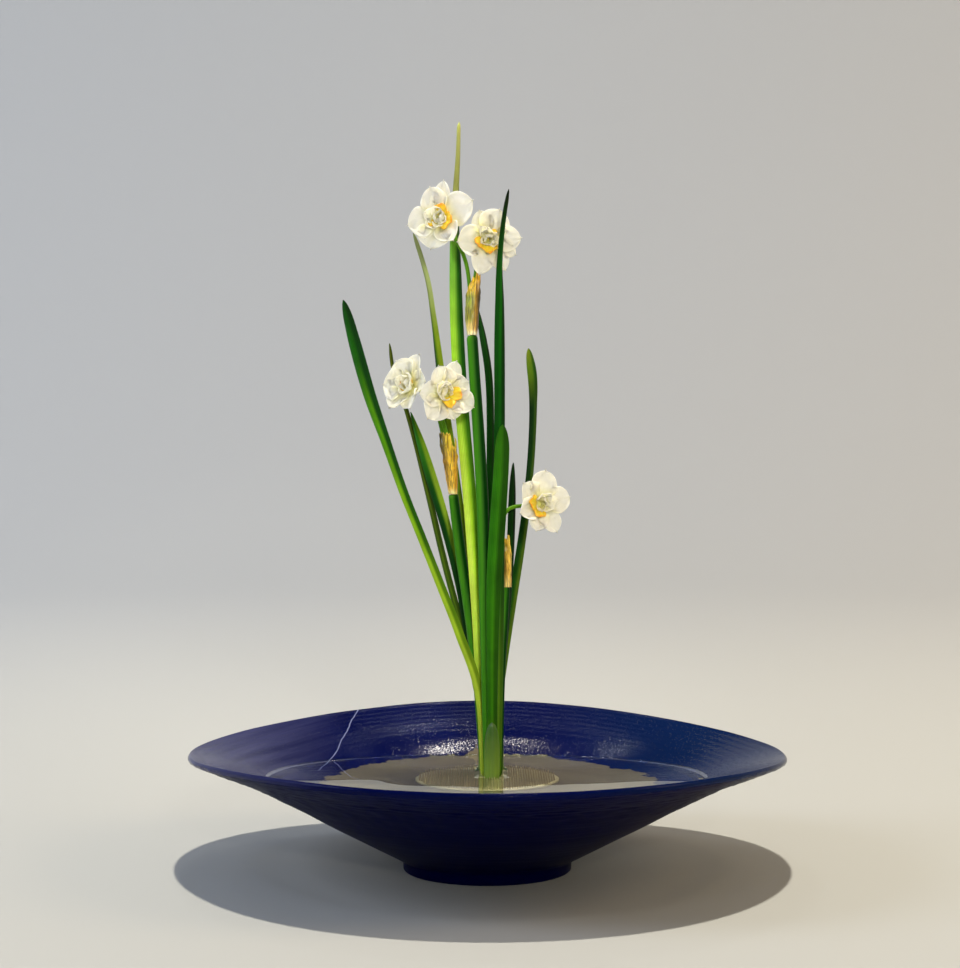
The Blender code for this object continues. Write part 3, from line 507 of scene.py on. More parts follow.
def clear_water():
    """Water: IOR 1.333, faintly milky. Lamps shine straight through it, in place of slow caustics."""
    made, tree, surface = new_material("clear_water")
    shader = node(tree, "BsdfPrincipled", {
        "Base Color": linear("#E9EFEC"), "Roughness": 0.0, "IOR": 1.333, "Transmission Weight": 1.0,
    })
    see = node(tree, "BsdfTransparent", {0: linear("#E3E9E6")})
    lamp = node(tree, "LightPath").outputs["Is Shadow Ray"]
    both = node(tree, "MixShader", {0: lamp, 1: shader.outputs[0], 2: see.outputs[0]})
    tree.links.new(both.outputs[0], surface)
    return made


wall_path = along_curve(inside_line, 60)
wet_edge, wet_wall = [], []
for k in range(EDGE_COUNT):
    angle = 2 * math.pi * k / EDGE_COUNT
    wall = [warped(r, angle, z) for r, z in wall_path]
    top = next(i for i, p in enumerate(wall) if p.z > water_level)
    share = (water_level - wall[top - 1].z) / (wall[top].z - wall[top - 1].z)
    wet_edge.append(wall[top - 1].lerp(wall[top], share))
    wet_wall.append(wall)

# how far the rings are from the bunch to the wall, close together where the water climbs
spread = [0.03, 0.05, 0.06, 0.07, 0.08, 0.09, 0.105, 0.12, 0.14, 0.17, 0.21, 0.26, 0.32, 0.39, 0.47, 0.56, 0.65]
spread += [0.73, 0.80, 0.86, 0.90, 0.93, 0.95, 0.965, 0.978, 0.988, 0.995, 1.0]
surface_rings = []
for s in spread:
    ring = []
    for edge in wet_edge:
        point = bunch_centre.lerp(edge, s)
        to_wall = (edge - point).length
        ripple = noise.noise(point * 28) * RIPPLE
        near = sum(max(abs(point[k] - bunch_centre[k]) - BUNCH_HALF[k], 0.0) for k in (0, 1))
        climb = CLIMB * math.exp(-to_wall / CLIMB_REACH) + STEM_CLIMB * math.exp(-near / STEM_REACH)
        swirl = SWIRL * math.sin(near * 1500) * math.exp(-near / 0.004)
        ring.append(point + Vector((0, 0, ripple + climb + swirl)))
    surface_rings.append(ring)
bed_rings = []
for share in (1.0, 0.75, 0.5, 0.25, 0.0):
    ring = []
    for edge, wall in zip(wet_edge, wet_wall):
        target = edge.z * share + wall[0].z * (1 - share)
        top = next((i for i, p in enumerate(wall) if p.z > target), 1)
        f = (target - wall[top - 1].z) / (wall[top].z - wall[top - 1].z)
        point = wall[top - 1].lerp(wall[top], min(max(f, 0.0), 1.0))
        lift = CLIMB if share == 1.0 else 0.0
        outward = Vector((point.x, point.y, 0)).normalized()
        ring.append(point + outward * INTO_WALL + Vector((0, 0, lift - INTO_WALL)))
    bed_rings.append(ring)
bm = bmesh.new()
loft(bm, surface_rings + bed_rings)
bmesh.ops.recalc_face_normals(bm, faces=bm.faces)
water = new_piece("still_water", bm, clear_water())
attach(water, "root")
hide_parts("water")


# ---------------------------------------------------------------- leaves
# Strap leaves of narcissus: thick, waxy, channelled on the inner face and faintly ribbed lengthways, each twisted a
# little on its way up. Their colours have light and shade painted in: lime where a leaf is lit or glows against the
# light, dark green down its shaded side, under cast shadows and along its shaded stretches.
VEINS = 9  # ribs over half the width of a leaf
RIB = 0.00006  # height of a rib
LEAF_AROUND = 28  # points round a section of a leaf


def leaf_skin():
    """Leaf: a waxy cuticle over ribbed tissue that light passes through, in the colour each leaf's vertices carry,
    with light and shade painted into it.
    """
    made, tree, surface = new_material("narcissus_leaf")
    place = object_axes(tree)[0]
    colour_with_painted_light = node(tree, "Attribute", attribute_name="colour_with_painted_light").outputs["Color"]
    across = node(tree, "Attribute", attribute_name="across").outputs["Fac"]
    mottle = node(tree, "TexNoise", {"Vector": place, "Scale": 60.0, "Detail": 3.0}).outputs[0]
    veins = node(tree, "Math", {0: across, 1: math.pi * VEINS}, operation="MULTIPLY").outputs[0]
    veins = node(tree, "Math", {0: veins}, operation="SINE").outputs[0]
    streaky = node(tree, "MapRange", {0: veins, 1: -1.0, 2: 1.0, 3: 0.92, 4: 1.08}).outputs[0]
    dapple = node(tree, "MapRange", {0: mottle, 1: 0.3, 2: 0.7, 3: 0.85, 4: 1.15}).outputs[0]
    both = node(tree, "Math", {0: streaky, 1: dapple}, operation="MULTIPLY").outputs[0]
    colour = node(tree, "VectorMath", {0: colour_with_painted_light, "Scale": both}, operation="SCALE").outputs[0]
    bump = node(tree, "Bump", {"Height": veins, "Distance": 0.00012, "Strength": 0.5}).outputs[0]
    shader = node(tree, "BsdfPrincipled", {
        "Base Color": colour, "Roughness": 0.42, "Normal": bump, "Specular IOR Level": 0.06, "Subsurface Weight": 0.2,
        "Subsurface Radius": (0.6, 1.0, 0.2), "Subsurface Scale": 0.0012,
    })
    tree.links.new(shader.outputs[0], surface)
    return made


def directions(path):
    """Which way a path runs at each of its points; its first section is level."""
    ends = [(path[max(i - 1, 0)], path[min(i + 1, len(path) - 1)]) for i in range(len(path))]
    found = [(after - before).normalized() for before, after in ends]
    found[0] = Vector((0, 0, 1))
    return found


def tint(colour_and_light_stops, along, across):
    """The colour of a leaf or sheet at a place, from rows of how far along and a left, middle and right colour, which
    paint in light and shade as well as its own colour.
    """
    last = len(colour_and_light_stops) - 1
    i = min(sum(stop[0] <= along for stop in colour_and_light_stops[1:]), last - 1)
    share = smoothstep(colour_and_light_stops[i][0], colour_and_light_stops[i + 1][0], along)
    colours = []
    for _, left, middle, right in (colour_and_light_stops[i], colour_and_light_stops[i + 1]):
        edge = Vector(linear(left if across < 0 else right))
        colours.append(Vector(linear(middle)).lerp(edge, smoothstep(0.0, 0.42, abs(across))))
    return colours[0].lerp(colours[1], share)


def strap_leaf(name, cad, skin, foot, ribbon, colour_and_light_stops=None, thickness=0.0017, cup=0.16, tip=0.14, steps=110):
    """Lofts a leaf through sections that are lens-shaped, hollowed behind and twisted on the way up.

    foot is where the cut end stands. A row of ribbon is a point further along and the width there, in millimetres,
    and the twist there, in degrees. Its colour rows, along and across, hold its own green with light and shade painted
    in, for a skin that reads them.
    """
    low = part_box(cad)[0].z
    rows = [(*foot, low * 1000, *ribbon[0][3:])] + ribbon
    path = along_curve([Vector(row[:3]) / 1000 for row in rows], steps)
    shape = along_curve([(row[3] / 1000, math.radians(row[4])) for row in rows], steps)
    rings = []
    for i, (point, forward) in enumerate(zip(path, directions(path))):
        t = i / steps
        body, angle = shape[i]
        side = Vector((math.cos(angle), math.sin(angle), 0))
        side = (side - forward * side.dot(forward)).normalized()
        front = side.cross(forward)
        closing = max((t - (1 - tip)) / tip, 0.0)
        body = max(body * math.sqrt(max(1 - closing**1.9, 0.0)), 0.0007)
        ring = []
        for k in range(LEAF_AROUND):
            a = 2 * math.pi * k / LEAF_AROUND
            s = math.cos(a)
            rounded = math.sqrt(max(1 - s * s, 0.0)) ** 0.8
            ribs = RIB * math.cos(VEINS * math.pi * s) * rounded
            half_thick = (thickness * (0.30 + 0.20 * (1 - s * s))) * min(body / 0.0045, 1.0)
            depth = (half_thick * rounded + ribs) * (1 if math.sin(a) >= 0 else -1)
            fold = -cup * body * s * s - thickness * 0.5
            ring.append(point + side * (s * body / 2) + front * (fold + depth))
        rings.append(ring)
    bm = bmesh.new()
    colour_with_painted_light = bm.verts.layers.float_color.new("colour_with_painted_light")
    across = bm.verts.layers.float.new("across")
    for i, row in enumerate(loft(bm, rings)):
        for k, vert in enumerate(row):
            vert[across] = math.cos(2 * math.pi * k / LEAF_AROUND)
            if colour_and_light_stops:
                vert[colour_with_painted_light] = tint(colour_and_light_stops, i / steps, vert[across])
    bmesh.ops.recalc_face_normals(bm, faces=bm.faces)
    piece = new_piece(name, bm, skin)
    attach(piece, "root")
    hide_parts(cad)


leaf_material = leaf_skin()
# Each leaf's colour rows paint in light and shade: lime where it is lit or glows against the light, dark green on its
# shaded side, under cast shadows and along its shaded lengths.
strap_leaf(
    "front_leaf", "leaf_front", leaf_material,
    foot=(3.3, 36.0),
    ribbon=[
        (3.2, 35.3, 92, 6.6, 0), (3.3, 33.8, 136, 7.8, -2), (4.0, 31.9, 171, 9.4, -4),
        (5.8, 30.2, 202, 10.1, -6), (7.7, 28.0, 232, 9.8, -8), (8.9, 25.8, 254, 9.2, -8),
        (9.4, 24.2, 270, 8.0, -8),
    ],
    colour_and_light_stops=[
        (0, "#8FB429", "#A6C634", "#6E941C"),
        (0.14, "#2C6A08", "#3C7F0C", "#235406"),
        (0.55, "#2A6E06", "#347A09", "#1C4A04"),
        (1, "#2E6A09", "#2C6408", "#1C4805"),
    ],
)
strap_leaf(
    "right_tall_leaf", "leaf_right_tall", leaf_material,
    foot=(6.0, 45.2),
    ribbon=[
        (7.2, 43.0, 104, 5.8, 4), (7.8, 38.5, 161, 6.2, 6), (7.8, 33.7, 224, 6.8, 8),
        (8.0, 28.6, 280, 6.8, 10), (8.0, 22.0, 316, 6.8, 14), (8.5, 17.0, 345, 6.6, 34),
        (8.8, 13.6, 369, 6.2, 58), (10.8, 10.6, 392, 5.6, 66), (13.9, 8.5, 413, 4.0, 70),
    ],
    colour_and_light_stops=[
        (0, "#5C8A1E", "#6E9A25", "#4A7417"),
        (0.3, "#0C4A08", "#0F5A09", "#063605"),
        (0.78, "#0A4407", "#106009", "#042804"),
        (1, "#0A1C03", "#102004", "#081602"),
    ],
    cup=0.12, tip=0.05,
)
strap_leaf(
    "far_left_leaf", "leaf_far_left", leaf_material,
    foot=(-0.9, 46.0),
    ribbon=[
        (-5.0, 47.2, 99, 5.9, -14), (-17.6, 46.2, 138, 5.9, -16), (-29.2, 45.0, 168, 5.9, -18),
        (-41.0, 43.2, 198, 6.0, -20), (-52.8, 41.0, 228, 6.1, -20), (-63.2, 38.6, 258, 6.8, -20),
        (-73.7, 36.0, 288, 8.6, -22), (-82.2, 33.2, 318, 8.8, -24), (-89.3, 30.0, 347, 5.6, -24),
    ],
    colour_and_light_stops=[
        (0, "#B4CC3C", "#C0D440", "#86A020"),
        (0.3, "#A8CC2C", "#A8CC2C", "#5A8410"),
        (0.5, "#8CB81C", "#78AC10", "#245A08"),
        (0.7, "#4C8A09", "#5A9A0C", "#14480B"),
        (0.88, "#1C6009", "#1C5A0B", "#0A3A0A"),
        (1, "#0E4408", "#12440B", "#0A3009"),
    ],
    cup=0.12, tip=0.05,
)
strap_leaf(
    "tallest_leaf", "leaf_tallest", leaf_material,
    foot=(0.7, 48.4),
    ribbon=[
        (-3.3, 49.8, 102, 7.4, 0), (-5.3, 50.8, 147, 8.0, 4), (-8.2, 51.4, 194, 8.6, 8),
        (-12.0, 52.2, 242, 8.7, 10), (-16.0, 52.9, 288, 8.8, 12), (-18.3, 53.2, 332, 8.8, 16),
        (-18.7, 53.6, 372, 8.6, 34), (-18.3, 54.2, 408, 8.2, 62), (-17.0, 54.7, 438, 6.6, 76),
        (-16.6, 55.0, 460, 5.0, 80),
    ],
    colour_and_light_stops=[
        (0, "#B8DC3C", "#C4E446", "#8CB41C"),
        (0.3, "#D8F858", "#B0E02C", "#5A9A12"),
        (0.55, "#A8E038", "#4C9018", "#145208"),
        (0.72, "#70B038", "#205E10", "#0A3C08"),
        (0.84, "#A0A860", "#8C9850", "#4E5E20"),
        (0.95, "#B8C070", "#A8AC5C", "#6E7834"),
        (1, "#D4DC80", "#C8CC60", "#B0B060"),
    ],
    tip=0.025,
)
strap_leaf(
    "right_short_leaf", "leaf_right_short", leaf_material,
    foot=(5.4, 66.8),
    ribbon=[
        (5.6, 66.2, 78, 4.4, 6), (9.6, 63.4, 115, 4.6, 8), (12.7, 61.6, 150, 4.8, 12),
        (14.9, 60.4, 182, 5.0, 16), (16.2, 59.0, 213, 5.2, 20), (17.0, 58.3, 246, 4.6, 24),
    ],
    colour_and_light_stops=[
        (0, "#4E7A17", "#5E8A1C", "#3A6412"),
        (0.3, "#0C4209", "#0E4A0A", "#062C05"),
        (1, "#062404", "#0A3006", "#041C03"),
    ],
    thickness=0.0014,
)
strap_leaf(
    "centre_back_leaf", "leaf_centre_back", leaf_material,
    foot=(4.0, 56.2),
    ribbon=[
        (3.6, 56.8, 85, 5.6, 4), (3.2, 59.2, 146, 5.2, 8), (2.4, 59.5, 206, 5.0, 14),
        (2.6, 59.7, 272, 5.0, 18), (1.7, 59.8, 300, 5.0, 20), (-1.2, 59.9, 321, 4.8, 22),
        (-6.2, 60.0, 346, 4.0, 26),
    ],
    colour_and_light_stops=[
        (0, "#4E7A17", "#5E8A1C", "#3A6412"),
        (0.3, "#0E4C09", "#12580A", "#083A07"),
        (1, "#0C3A09", "#104A0A", "#062C05"),
    ],
    thickness=0.0014,
)
strap_leaf(
    "left_tall_leaf", "leaf_left_tall", leaf_material,
    foot=(2.6, 59.8),
    ribbon=[
        (0.8, 59.2, 82, 6.6, 0), (-6.9, 63.0, 111, 6.6, 0), (-11.6, 63.8, 158, 6.6, -4),
        (-17.0, 64.0, 208, 6.4, -10), (-22.8, 63.6, 250, 6.2, -18), (-27.8, 63.0, 283, 6.1, -24),
        (-31.4, 62.7, 311, 6.1, -36), (-35.1, 62.3, 338, 5.8, -56), (-38.9, 62.1, 362, 5.6, -64),
        (-47.4, 62.0, 391, 4.8, -66),
    ],
    colour_and_light_stops=[
        (0, "#5E8A1A", "#7CA023", "#5E8A1A"),
        (0.4, "#123E07", "#3C640E", "#5E8015"),
        (0.75, "#1C4409", "#4E7412", "#7C941C"),
        (0.9, "#78883C", "#869248", "#A0AC68"),
        (1, "#8E9A5C", "#98A468", "#A0A868"),
    ],
    tip=0.04,
)
strap_leaf(
    "left_broad_leaf", "leaf_left_broad", leaf_material,
    foot=(-0.8, 67.5),
    ribbon=[
        (-1.0, 67.8, 78, 4.6, 0), (-6.6, 68.6, 104, 5.4, -2), (-11.2, 69.0, 134, 6.0, -4),
        (-16.8, 69.3, 166, 6.4, -6), (-23.5, 69.4, 194, 6.6, -8), (-29.9, 69.2, 217, 7.2, -10),
        (-35.8, 69.0, 236, 7.4, -12), (-42.2, 68.5, 257, 6.0, -16), (-48.8, 68.0, 278, 3.6, -20),
    ],
    colour_and_light_stops=[
        (0, "#4E7A17", "#5E8A1C", "#4E7A17"),
        (0.35, "#0A3807", "#0E4208", "#3C6C0C"),
        (0.72, "#0C4008", "#12500A", "#84A428"),
        (0.9, "#2C7012", "#2E7415", "#6E941C"),
        (1, "#1C4A0B", "#1C4A0B", "#2C5A0C"),
    ],
    cup=0.12,
)
strap_leaf(
    "left_narrow_leaf", "leaf_left_narrow", leaf_material,
    foot=(2.6, 69.9),
    ribbon=[
        (1.8, 70.1, 78, 4.4, -4), (-5.6, 71.6, 104, 4.4, -8), (-13.7, 72.9, 132, 4.4, -10),
        (-21.7, 74.0, 160, 4.4, -12), (-29.0, 74.8, 188, 4.3, -14), (-37.0, 75.5, 222, 4.2, -16),
        (-46.5, 76.2, 260, 3.6, -20), (-55.0, 76.5, 289, 3.0, -24), (-60.6, 76.8, 306, 2.8, -28),
        (-62.7, 77.0, 322, 2.4, -30),
    ],
    colour_and_light_stops=[
        (0, "#5E8A1A", "#6E941E", "#4E7A15"),
        (0.35, "#3C5A0C", "#4E6E10", "#2E4809"),
        (1, "#4E5A0F", "#5E6A13", "#3C480A"),
    ],
    thickness=0.0014, tip=0.06,
)
strap_leaf(
    "far_right_leaf", "leaf_far_right", leaf_material,
    foot=(2.8, 72.0),
    ribbon=[
        (3.0, 72.2, 76, 5.8, 4), (7.6, 74.4, 98, 5.8, 6), (12.3, 75.5, 129, 5.8, 8),
        (17.1, 76.2, 160, 5.8, 10), (21.9, 76.9, 190, 5.6, 12), (26.0, 77.6, 220, 5.2, 14),
        (28.8, 78.5, 250, 4.9, 14), (30.0, 79.3, 279, 5.1, 12), (29.6, 79.8, 300, 6.2, 10),
        (26.8, 80.1, 319, 6.2, 8),
    ],
    colour_and_light_stops=[
        (0, "#5E8A1A", "#6E941E", "#4E7A15"),
        (0.35, "#144A08", "#2C5A0C", "#4C6C14"),
        (0.8, "#0A2C04", "#0E3806", "#2C4A10"),
        (0.93, "#5A7A13", "#4E7410", "#1C4406"),
        (1, "#7C8C1E", "#6E8419", "#3C5A0C"),
    ],
    thickness=0.0014, tip=0.09,
)


# ---------------------------------------------------------------- sheaths
# The pale bases that wrapped the shoot underground: a short one, cut off bluntly, in front of the bunch and a rolled
# one round its back. Their skin is thin, ribbed lengthways and whitish green, greener further up.
def sheath_skin():
    """Sheath: a moist, fibrous skin that light goes some way into."""
    made, tree, surface = new_material("leaf_sheath")
    place, _, _, z = object_axes(tree)
    fine = node(tree, "Mapping", {"Vector": place, "Scale": (900.0, 900.0, 25.0)}).outputs[0]
    fibres = node(tree, "TexNoise", {"Vector": fine, "Scale": 1.0, "Detail": 3.0}).outputs[0]
    high = node(tree, "MapRange", {0: z, 1: 0.046, 2: 0.080, 3: 0.0, 4: 1.0}).outputs[0]
    pale = node(tree, "Mix", {0: fibres, 6: linear("#648C20"), 7: linear("#98B840")}, data_type="RGBA").outputs[2]
    green = node(tree, "Mix", {0: fibres, 6: linear("#285008"), 7: linear("#467608")}, data_type="RGBA").outputs[2]
    colour = node(tree, "Mix", {0: high, 6: pale, 7: green}, data_type="RGBA").outputs[2]
    bump = node(tree, "Bump", {"Height": fibres, "Distance": 0.0002, "Strength": 0.5}).outputs[0]
    shader = node(tree, "BsdfPrincipled", {
        "Base Color": colour, "Roughness": 0.45, "Normal": bump, "Subsurface Weight": 0.4,
        "Subsurface Radius": (0.8, 1.0, 0.4), "Subsurface Scale": 0.0012,
    })
    tree.links.new(shader.outputs[0], surface)
    return made


sheath = sheath_skin()
strap_leaf(
    "cut_sheath", "sheath_front", sheath,
    foot=(3.0, 32.8),
    ribbon=[(3.0, 32.6, 52, 9.6, 0), (3.1, 32.8, 84.5, 9.8, 0)],
    cup=0.20, tip=0.26, steps=48,
)


SHEET_STEPS = 40  # steps along the spine of a rolled sheet


def thicken(piece, thickness):
    """Gives a sheet its thickness, half of it on either side."""
    sheet = piece.modifiers.new("sheet", "SOLIDIFY")
    sheet.thickness = thickness
    sheet.offset = 0.0


def rolled_sheet(
    name, cad, skin, spine, radius_at, facing, reach, slope, wall, colour_and_light_stops=None, ragged=0.0, crumple=0.0, seed=1
):
    """A thin sheet rolled round a spine, open on one side, with its top cut on a slope and torn if it is ragged.

    facing is the angle of its middle and reach how far it goes to either side of that, in degrees.
    """
    path = along_curve(spine, SHEET_STEPS)
    bm = bmesh.new()
    colour_with_painted_light = bm.verts.layers.float_color.new("colour_with_painted_light")
    for vert in bmesh.ops.create_grid(bm, x_segments=40, y_segments=48, size=1.0)["verts"]:
        side, t = vert.co.x, (vert.co.y + 1) / 2
        angle = math.radians(facing + reach * side)
        tear = noise.noise(Vector((side * 4.0 + seed, 0.3, 7.1 * seed)))
        tear += 0.5 * noise.noise(Vector((side * 13.0, seed, 0.7)))
        share = t * (1 - slope * side * side * (0.6 + 0.4 * math.sin(2.5 * side + seed)) + ragged * tear)
        i = min(int(share * SHEET_STEPS), SHEET_STEPS - 1)
        point = path[i].lerp(path[i + 1], share * SHEET_STEPS - i)
        round_about = Vector((math.cos(angle), math.sin(angle), 0))
        fold = noise.noise(round_about * 2.2 + Vector((0, 0, share * 5 + seed)))
        fold += 0.6 * noise.noise(round_about * 6.0 + Vector((seed, 0, share * 9)))
        vert.co = point + round_about * (radius_at(share) + crumple * fold * t)
        if colour_and_light_stops:
            vert[colour_with_painted_light] = tint(colour_and_light_stops, share, side * 1.6)
    piece = new_piece(name, bm, skin)
    thicken(piece, wall)
    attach(piece, "root")
    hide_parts(cad)


pin_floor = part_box("sheath_back")[0].z
rolled_sheet(
    "rolled_sheath", "sheath_back", sheath,
    [(0.0026, 0.0697, pin_floor), (0.0026, 0.0697, 0.058), (0.0026, 0.0697, 0.079)],
    lambda t: 0.0074 + 0.0002 * math.sin(3 * t), facing=-90, reach=155, slope=0.16, wall=0.0008,
)


# ---------------------------------------------------------------- flower stems
# Scapes: round, slightly flattened hollow stems. Where each leaves its spathe it gives off the flower stalks, thin and
# bent over, which swell into a green ovary right behind the bloom and pass into its pale tube.
BLOOMS = {
    "a1": dict(centre=(-0.0284, 0.0250, 0.3962), facing=(-0.25, -0.95, 0.15)),
    "a2": dict(centre=(-0.0004, 0.0310, 0.3840), facing=(0.20, -0.96, 0.08)),
    "b1": dict(centre=(-0.0470, 0.0440, 0.2940), facing=(-0.72, -0.63, 0.25)),
    "b2": dict(centre=(-0.0262, 0.0280, 0.2890), facing=(0.38, -0.90, 0.10)),
    "c": dict(centre=(0.0318, 0.0380, 0.2208), facing=(0.42, -0.90, 0.08)),
}
TUBE = 0.009  # length of the tube behind a bloom
TUBE_GAP = 0.0002  # between a stalk and the tube
TUBE_RADIUS, TUBE_FLARE = 0.0016, 0.0014  # the tube widens by this much towards the petals
STALKS_FROM = 0.9  # how far along a plant's stem its stalks count from
STEM_STEPS, STEM_AROUND = 120, 24
STALK_STEPS, STALK_AROUND = 60, 18
STALK_RADIUS, OVARY_RISE = 0.00125, 0.00125  # the ovary swells a stalk to twice its radius


def stem_skin():
    """Stem: waxy green skin, ribbed lengthways, yellower at the stalks and dark down the side away from the light."""
    made, tree, surface = new_material("flower_stem")
    place = object_axes(tree)[0]
    along = node(tree, "Attribute", attribute_name="along").outputs["Fac"]
    across = node(tree, "Attribute", attribute_name="across").outputs["Fac"]
    fine = node(tree, "Mapping", {"Vector": place, "Scale": (700.0, 700.0, 20.0)}).outputs[0]
    ribs = node(tree, "TexNoise", {"Vector": fine, "Scale": 1.0, "Detail": 2.0}).outputs[0]
    low = node(tree, "Mix", {0: ribs, 6: linear("#2C6E10"), 7: linear("#4E961E")}, data_type="RGBA").outputs[2]
    top = node(tree, "Mix", {0: ribs, 6: linear("#6EA41A"), 7: linear("#A2CC34")}, data_type="RGBA").outputs[2]
    young = node(tree, "MapRange", {0: along, 1: 0.88, 2: 1.02, 3: 0.0, 4: 1.0}).outputs[0]
    colour = node(tree, "Mix", {0: young, 6: low, 7: top}, data_type="RGBA").outputs[2]
    to_side = {0: across, 1: -0.4, 2: 0.55, 3: 0.0, 4: 1.0}
    shaded = node(tree, "MapRange", to_side, interpolation_type="SMOOTHSTEP").outputs[0]
    grown = node(tree, "Math", {0: 1.0, 1: young}, operation="SUBTRACT").outputs[0]
    shaded = node(tree, "Math", {0: shaded, 1: grown}, operation="MULTIPLY").outputs[0]
    colour = node(tree, "Mix", {0: shaded, 6: colour, 7: linear("#043606")}, data_type="RGBA").outputs[2]
    bump = node(tree, "Bump", {"Height": ribs, "Distance": 0.00015, "Strength": 0.5}).outputs[0]
    shader = node(tree, "BsdfPrincipled", {
        "Base Color": colour, "Roughness": 0.42, "Normal": bump, "Specular IOR Level": 0.06, "Subsurface Weight": 0.2,
        "Subsurface Radius": (0.6, 1.0, 0.2), "Subsurface Scale": 0.0014,
    })
    tree.links.new(shader.outputs[0], surface)
    return made


def tube_rings(path, radius_at, around, flat=1.0):
    """Rings of a round stem along a path; flat squeezes it from front to back."""
    rings = []
    for i, (point, forward) in enumerate(zip(path, directions(path))):
        side = Vector((1, 0, 0)) - forward * forward.x
        side.normalize()
        front = side.cross(forward)
        radius = radius_at(i / (len(path) - 1))
        ring = []
        for k in range(around):
            a = 2 * math.pi * k / around
            ribbed = radius * (1 + 0.015 * math.cos(9 * a))
            ring.append(point + side * (ribbed * math.cos(a)) + front * (ribbed * flat * math.sin(a)))
        rings.append(ring)
    return rings


def stalk(t):
    """The radius of a flower stalk, with its ovary three quarters of the way along."""
    return STALK_RADIUS + OVARY_RISE * math.exp(-(((t - 0.76) / 0.13) ** 2))


def flower_stem(name, cad, skin, spine, radii, stalks):
    """One scape, closing round its stalks at the top; stalks maps a bloom to the bend its stalk makes."""
    low, belly, high = radii

    def thick(t):
        grown = low + (belly - low) * math.sin(math.pi * min(t, 0.5)) + (high - belly) * max(t - 0.5, 0.0) * 2
        return grown * math.sqrt(1 - 0.4 * max((t - 0.99) / 0.01, 0.0) ** 2)

    bm = bmesh.new()
    along = bm.verts.layers.float.new("along")
    across = bm.verts.layers.float.new("across")
    rows = loft(bm, tube_rings(along_curve(spine, STEM_STEPS), thick, STEM_AROUND, flat=0.88))
    for i, row in enumerate(rows):
        for k, vert in enumerate(row):
            vert[along] = STALKS_FROM * i / STEM_STEPS
            vert[across] = math.cos(2 * math.pi * k / STEM_AROUND)
    top = Vector(spine[-1])
    lean = (top - Vector(spine[-2])).normalized()
    for key, bend in stalks.items():
        facing = Vector(BLOOMS[key]["facing"]).normalized()
        back = Vector(BLOOMS[key]["centre"]) - facing * (TUBE + TUBE_GAP)
        route = [top - lean * 0.004, bend, back - facing * 0.008, back - facing * 0.003, back]
        rows = loft(bm, tube_rings(along_curve(route, STALK_STEPS), stalk, STALK_AROUND))
        for i, row in enumerate(rows):
            for vert in row:
                vert[along] = STALKS_FROM + (1 - STALKS_FROM) * i / STALK_STEPS
    bmesh.ops.recalc_face_normals(bm, faces=bm.faces)
    piece = new_piece(name, bm, skin)
    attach(piece, "root")
    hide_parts(cad)


stem = stem_skin()
flower_stem(
    "top_flower_stem", "scape_a", stem,
    [(0.0012, 0.0416, pin_floor), (-0.0003, 0.0420, 0.107), (-0.0013, 0.0415, 0.152), (-0.0025, 0.0410, 0.212),
     (-0.0043, 0.0402, 0.248), (-0.0058, 0.0396, 0.272), (-0.0077, 0.0389, 0.299), (-0.0094, 0.0383, 0.3255)],
    radii=(0.0029, 0.0038, 0.0034),
    stalks={"a1": (-0.0125, 0.0400, 0.3680), "a2": (-0.0075, 0.0385, 0.3600)},
)
flower_stem(
    "middle_flower_stem", "scape_b", stem,
    [(-0.0004, 0.0534, pin_floor), (-0.0060, 0.0575, 0.110), (-0.0088, 0.0585, 0.135), (-0.0120, 0.0585, 0.158),
     (-0.0160, 0.0580, 0.184), (-0.0193, 0.0565, 0.209), (-0.0213, 0.0543, 0.226)],
    radii=(0.0026, 0.0036, 0.0031),
    stalks={"b1": (-0.0275, 0.0530, 0.2620), "b2": (-0.0250, 0.0490, 0.2620)},
)
flower_stem(
    "low_flower_stem", "scape_c", stem,
    [(0.0072, 0.0502, pin_floor), (0.0092, 0.0512, 0.114), (0.0112, 0.0508, 0.146), (0.0128, 0.0500, 0.172)],
    radii=(0.0021, 0.0024, 0.0018),
    stalks={"c": (0.0104, 0.0484, 0.2120)},
)


# ---------------------------------------------------------------- spathes
# The sheath that each cluster of buds broke out of. It has dried to a thin, golden-brown paper, cream where it still
# holds to the stem, crumpled and torn at the top.
def dry_paper():
    """Spathe: dry, papery skin with fine fibres along it; light glows through, so the veins look dark. Its colour,
    read from the sheet, has one side painted dark with shade.
    """
    made, tree, surface = new_material("dry_spathe")
    place = object_axes(tree)[0]
    colour_with_painted_light = node(tree, "Attribute", attribute_name="colour_with_painted_light").outputs["Color"]
    fine = node(tree, "Mapping", {"Vector": place, "Scale": (1300.0, 1300.0, 90.0)}).outputs[0]
    veins = node(tree, "TexNoise", {"Vector": fine, "Scale": 1.0, "Detail": 4.0}).outputs[0]
    contrast = node(tree, "MapRange", {0: veins, 1: 0.38, 2: 0.62, 3: 0.5, 4: 1.6}).outputs[0]
    colour = node(tree, "VectorMath", {0: colour_with_painted_light, "Scale": contrast}, operation="SCALE").outputs[0]
    bump = node(tree, "Bump", {"Height": veins, "Distance": 0.0004, "Strength": 0.8}).outputs[0]
    shader = node(tree, "BsdfPrincipled", {
        "Base Color": colour, "Roughness": 0.35, "Normal": bump, "Subsurface Weight": 0.35,
        "Subsurface Radius": (1.0, 0.6, 0.2), "Subsurface Scale": 0.0008,
    })
    tree.links.new(shader.outputs[0], surface)
    return made


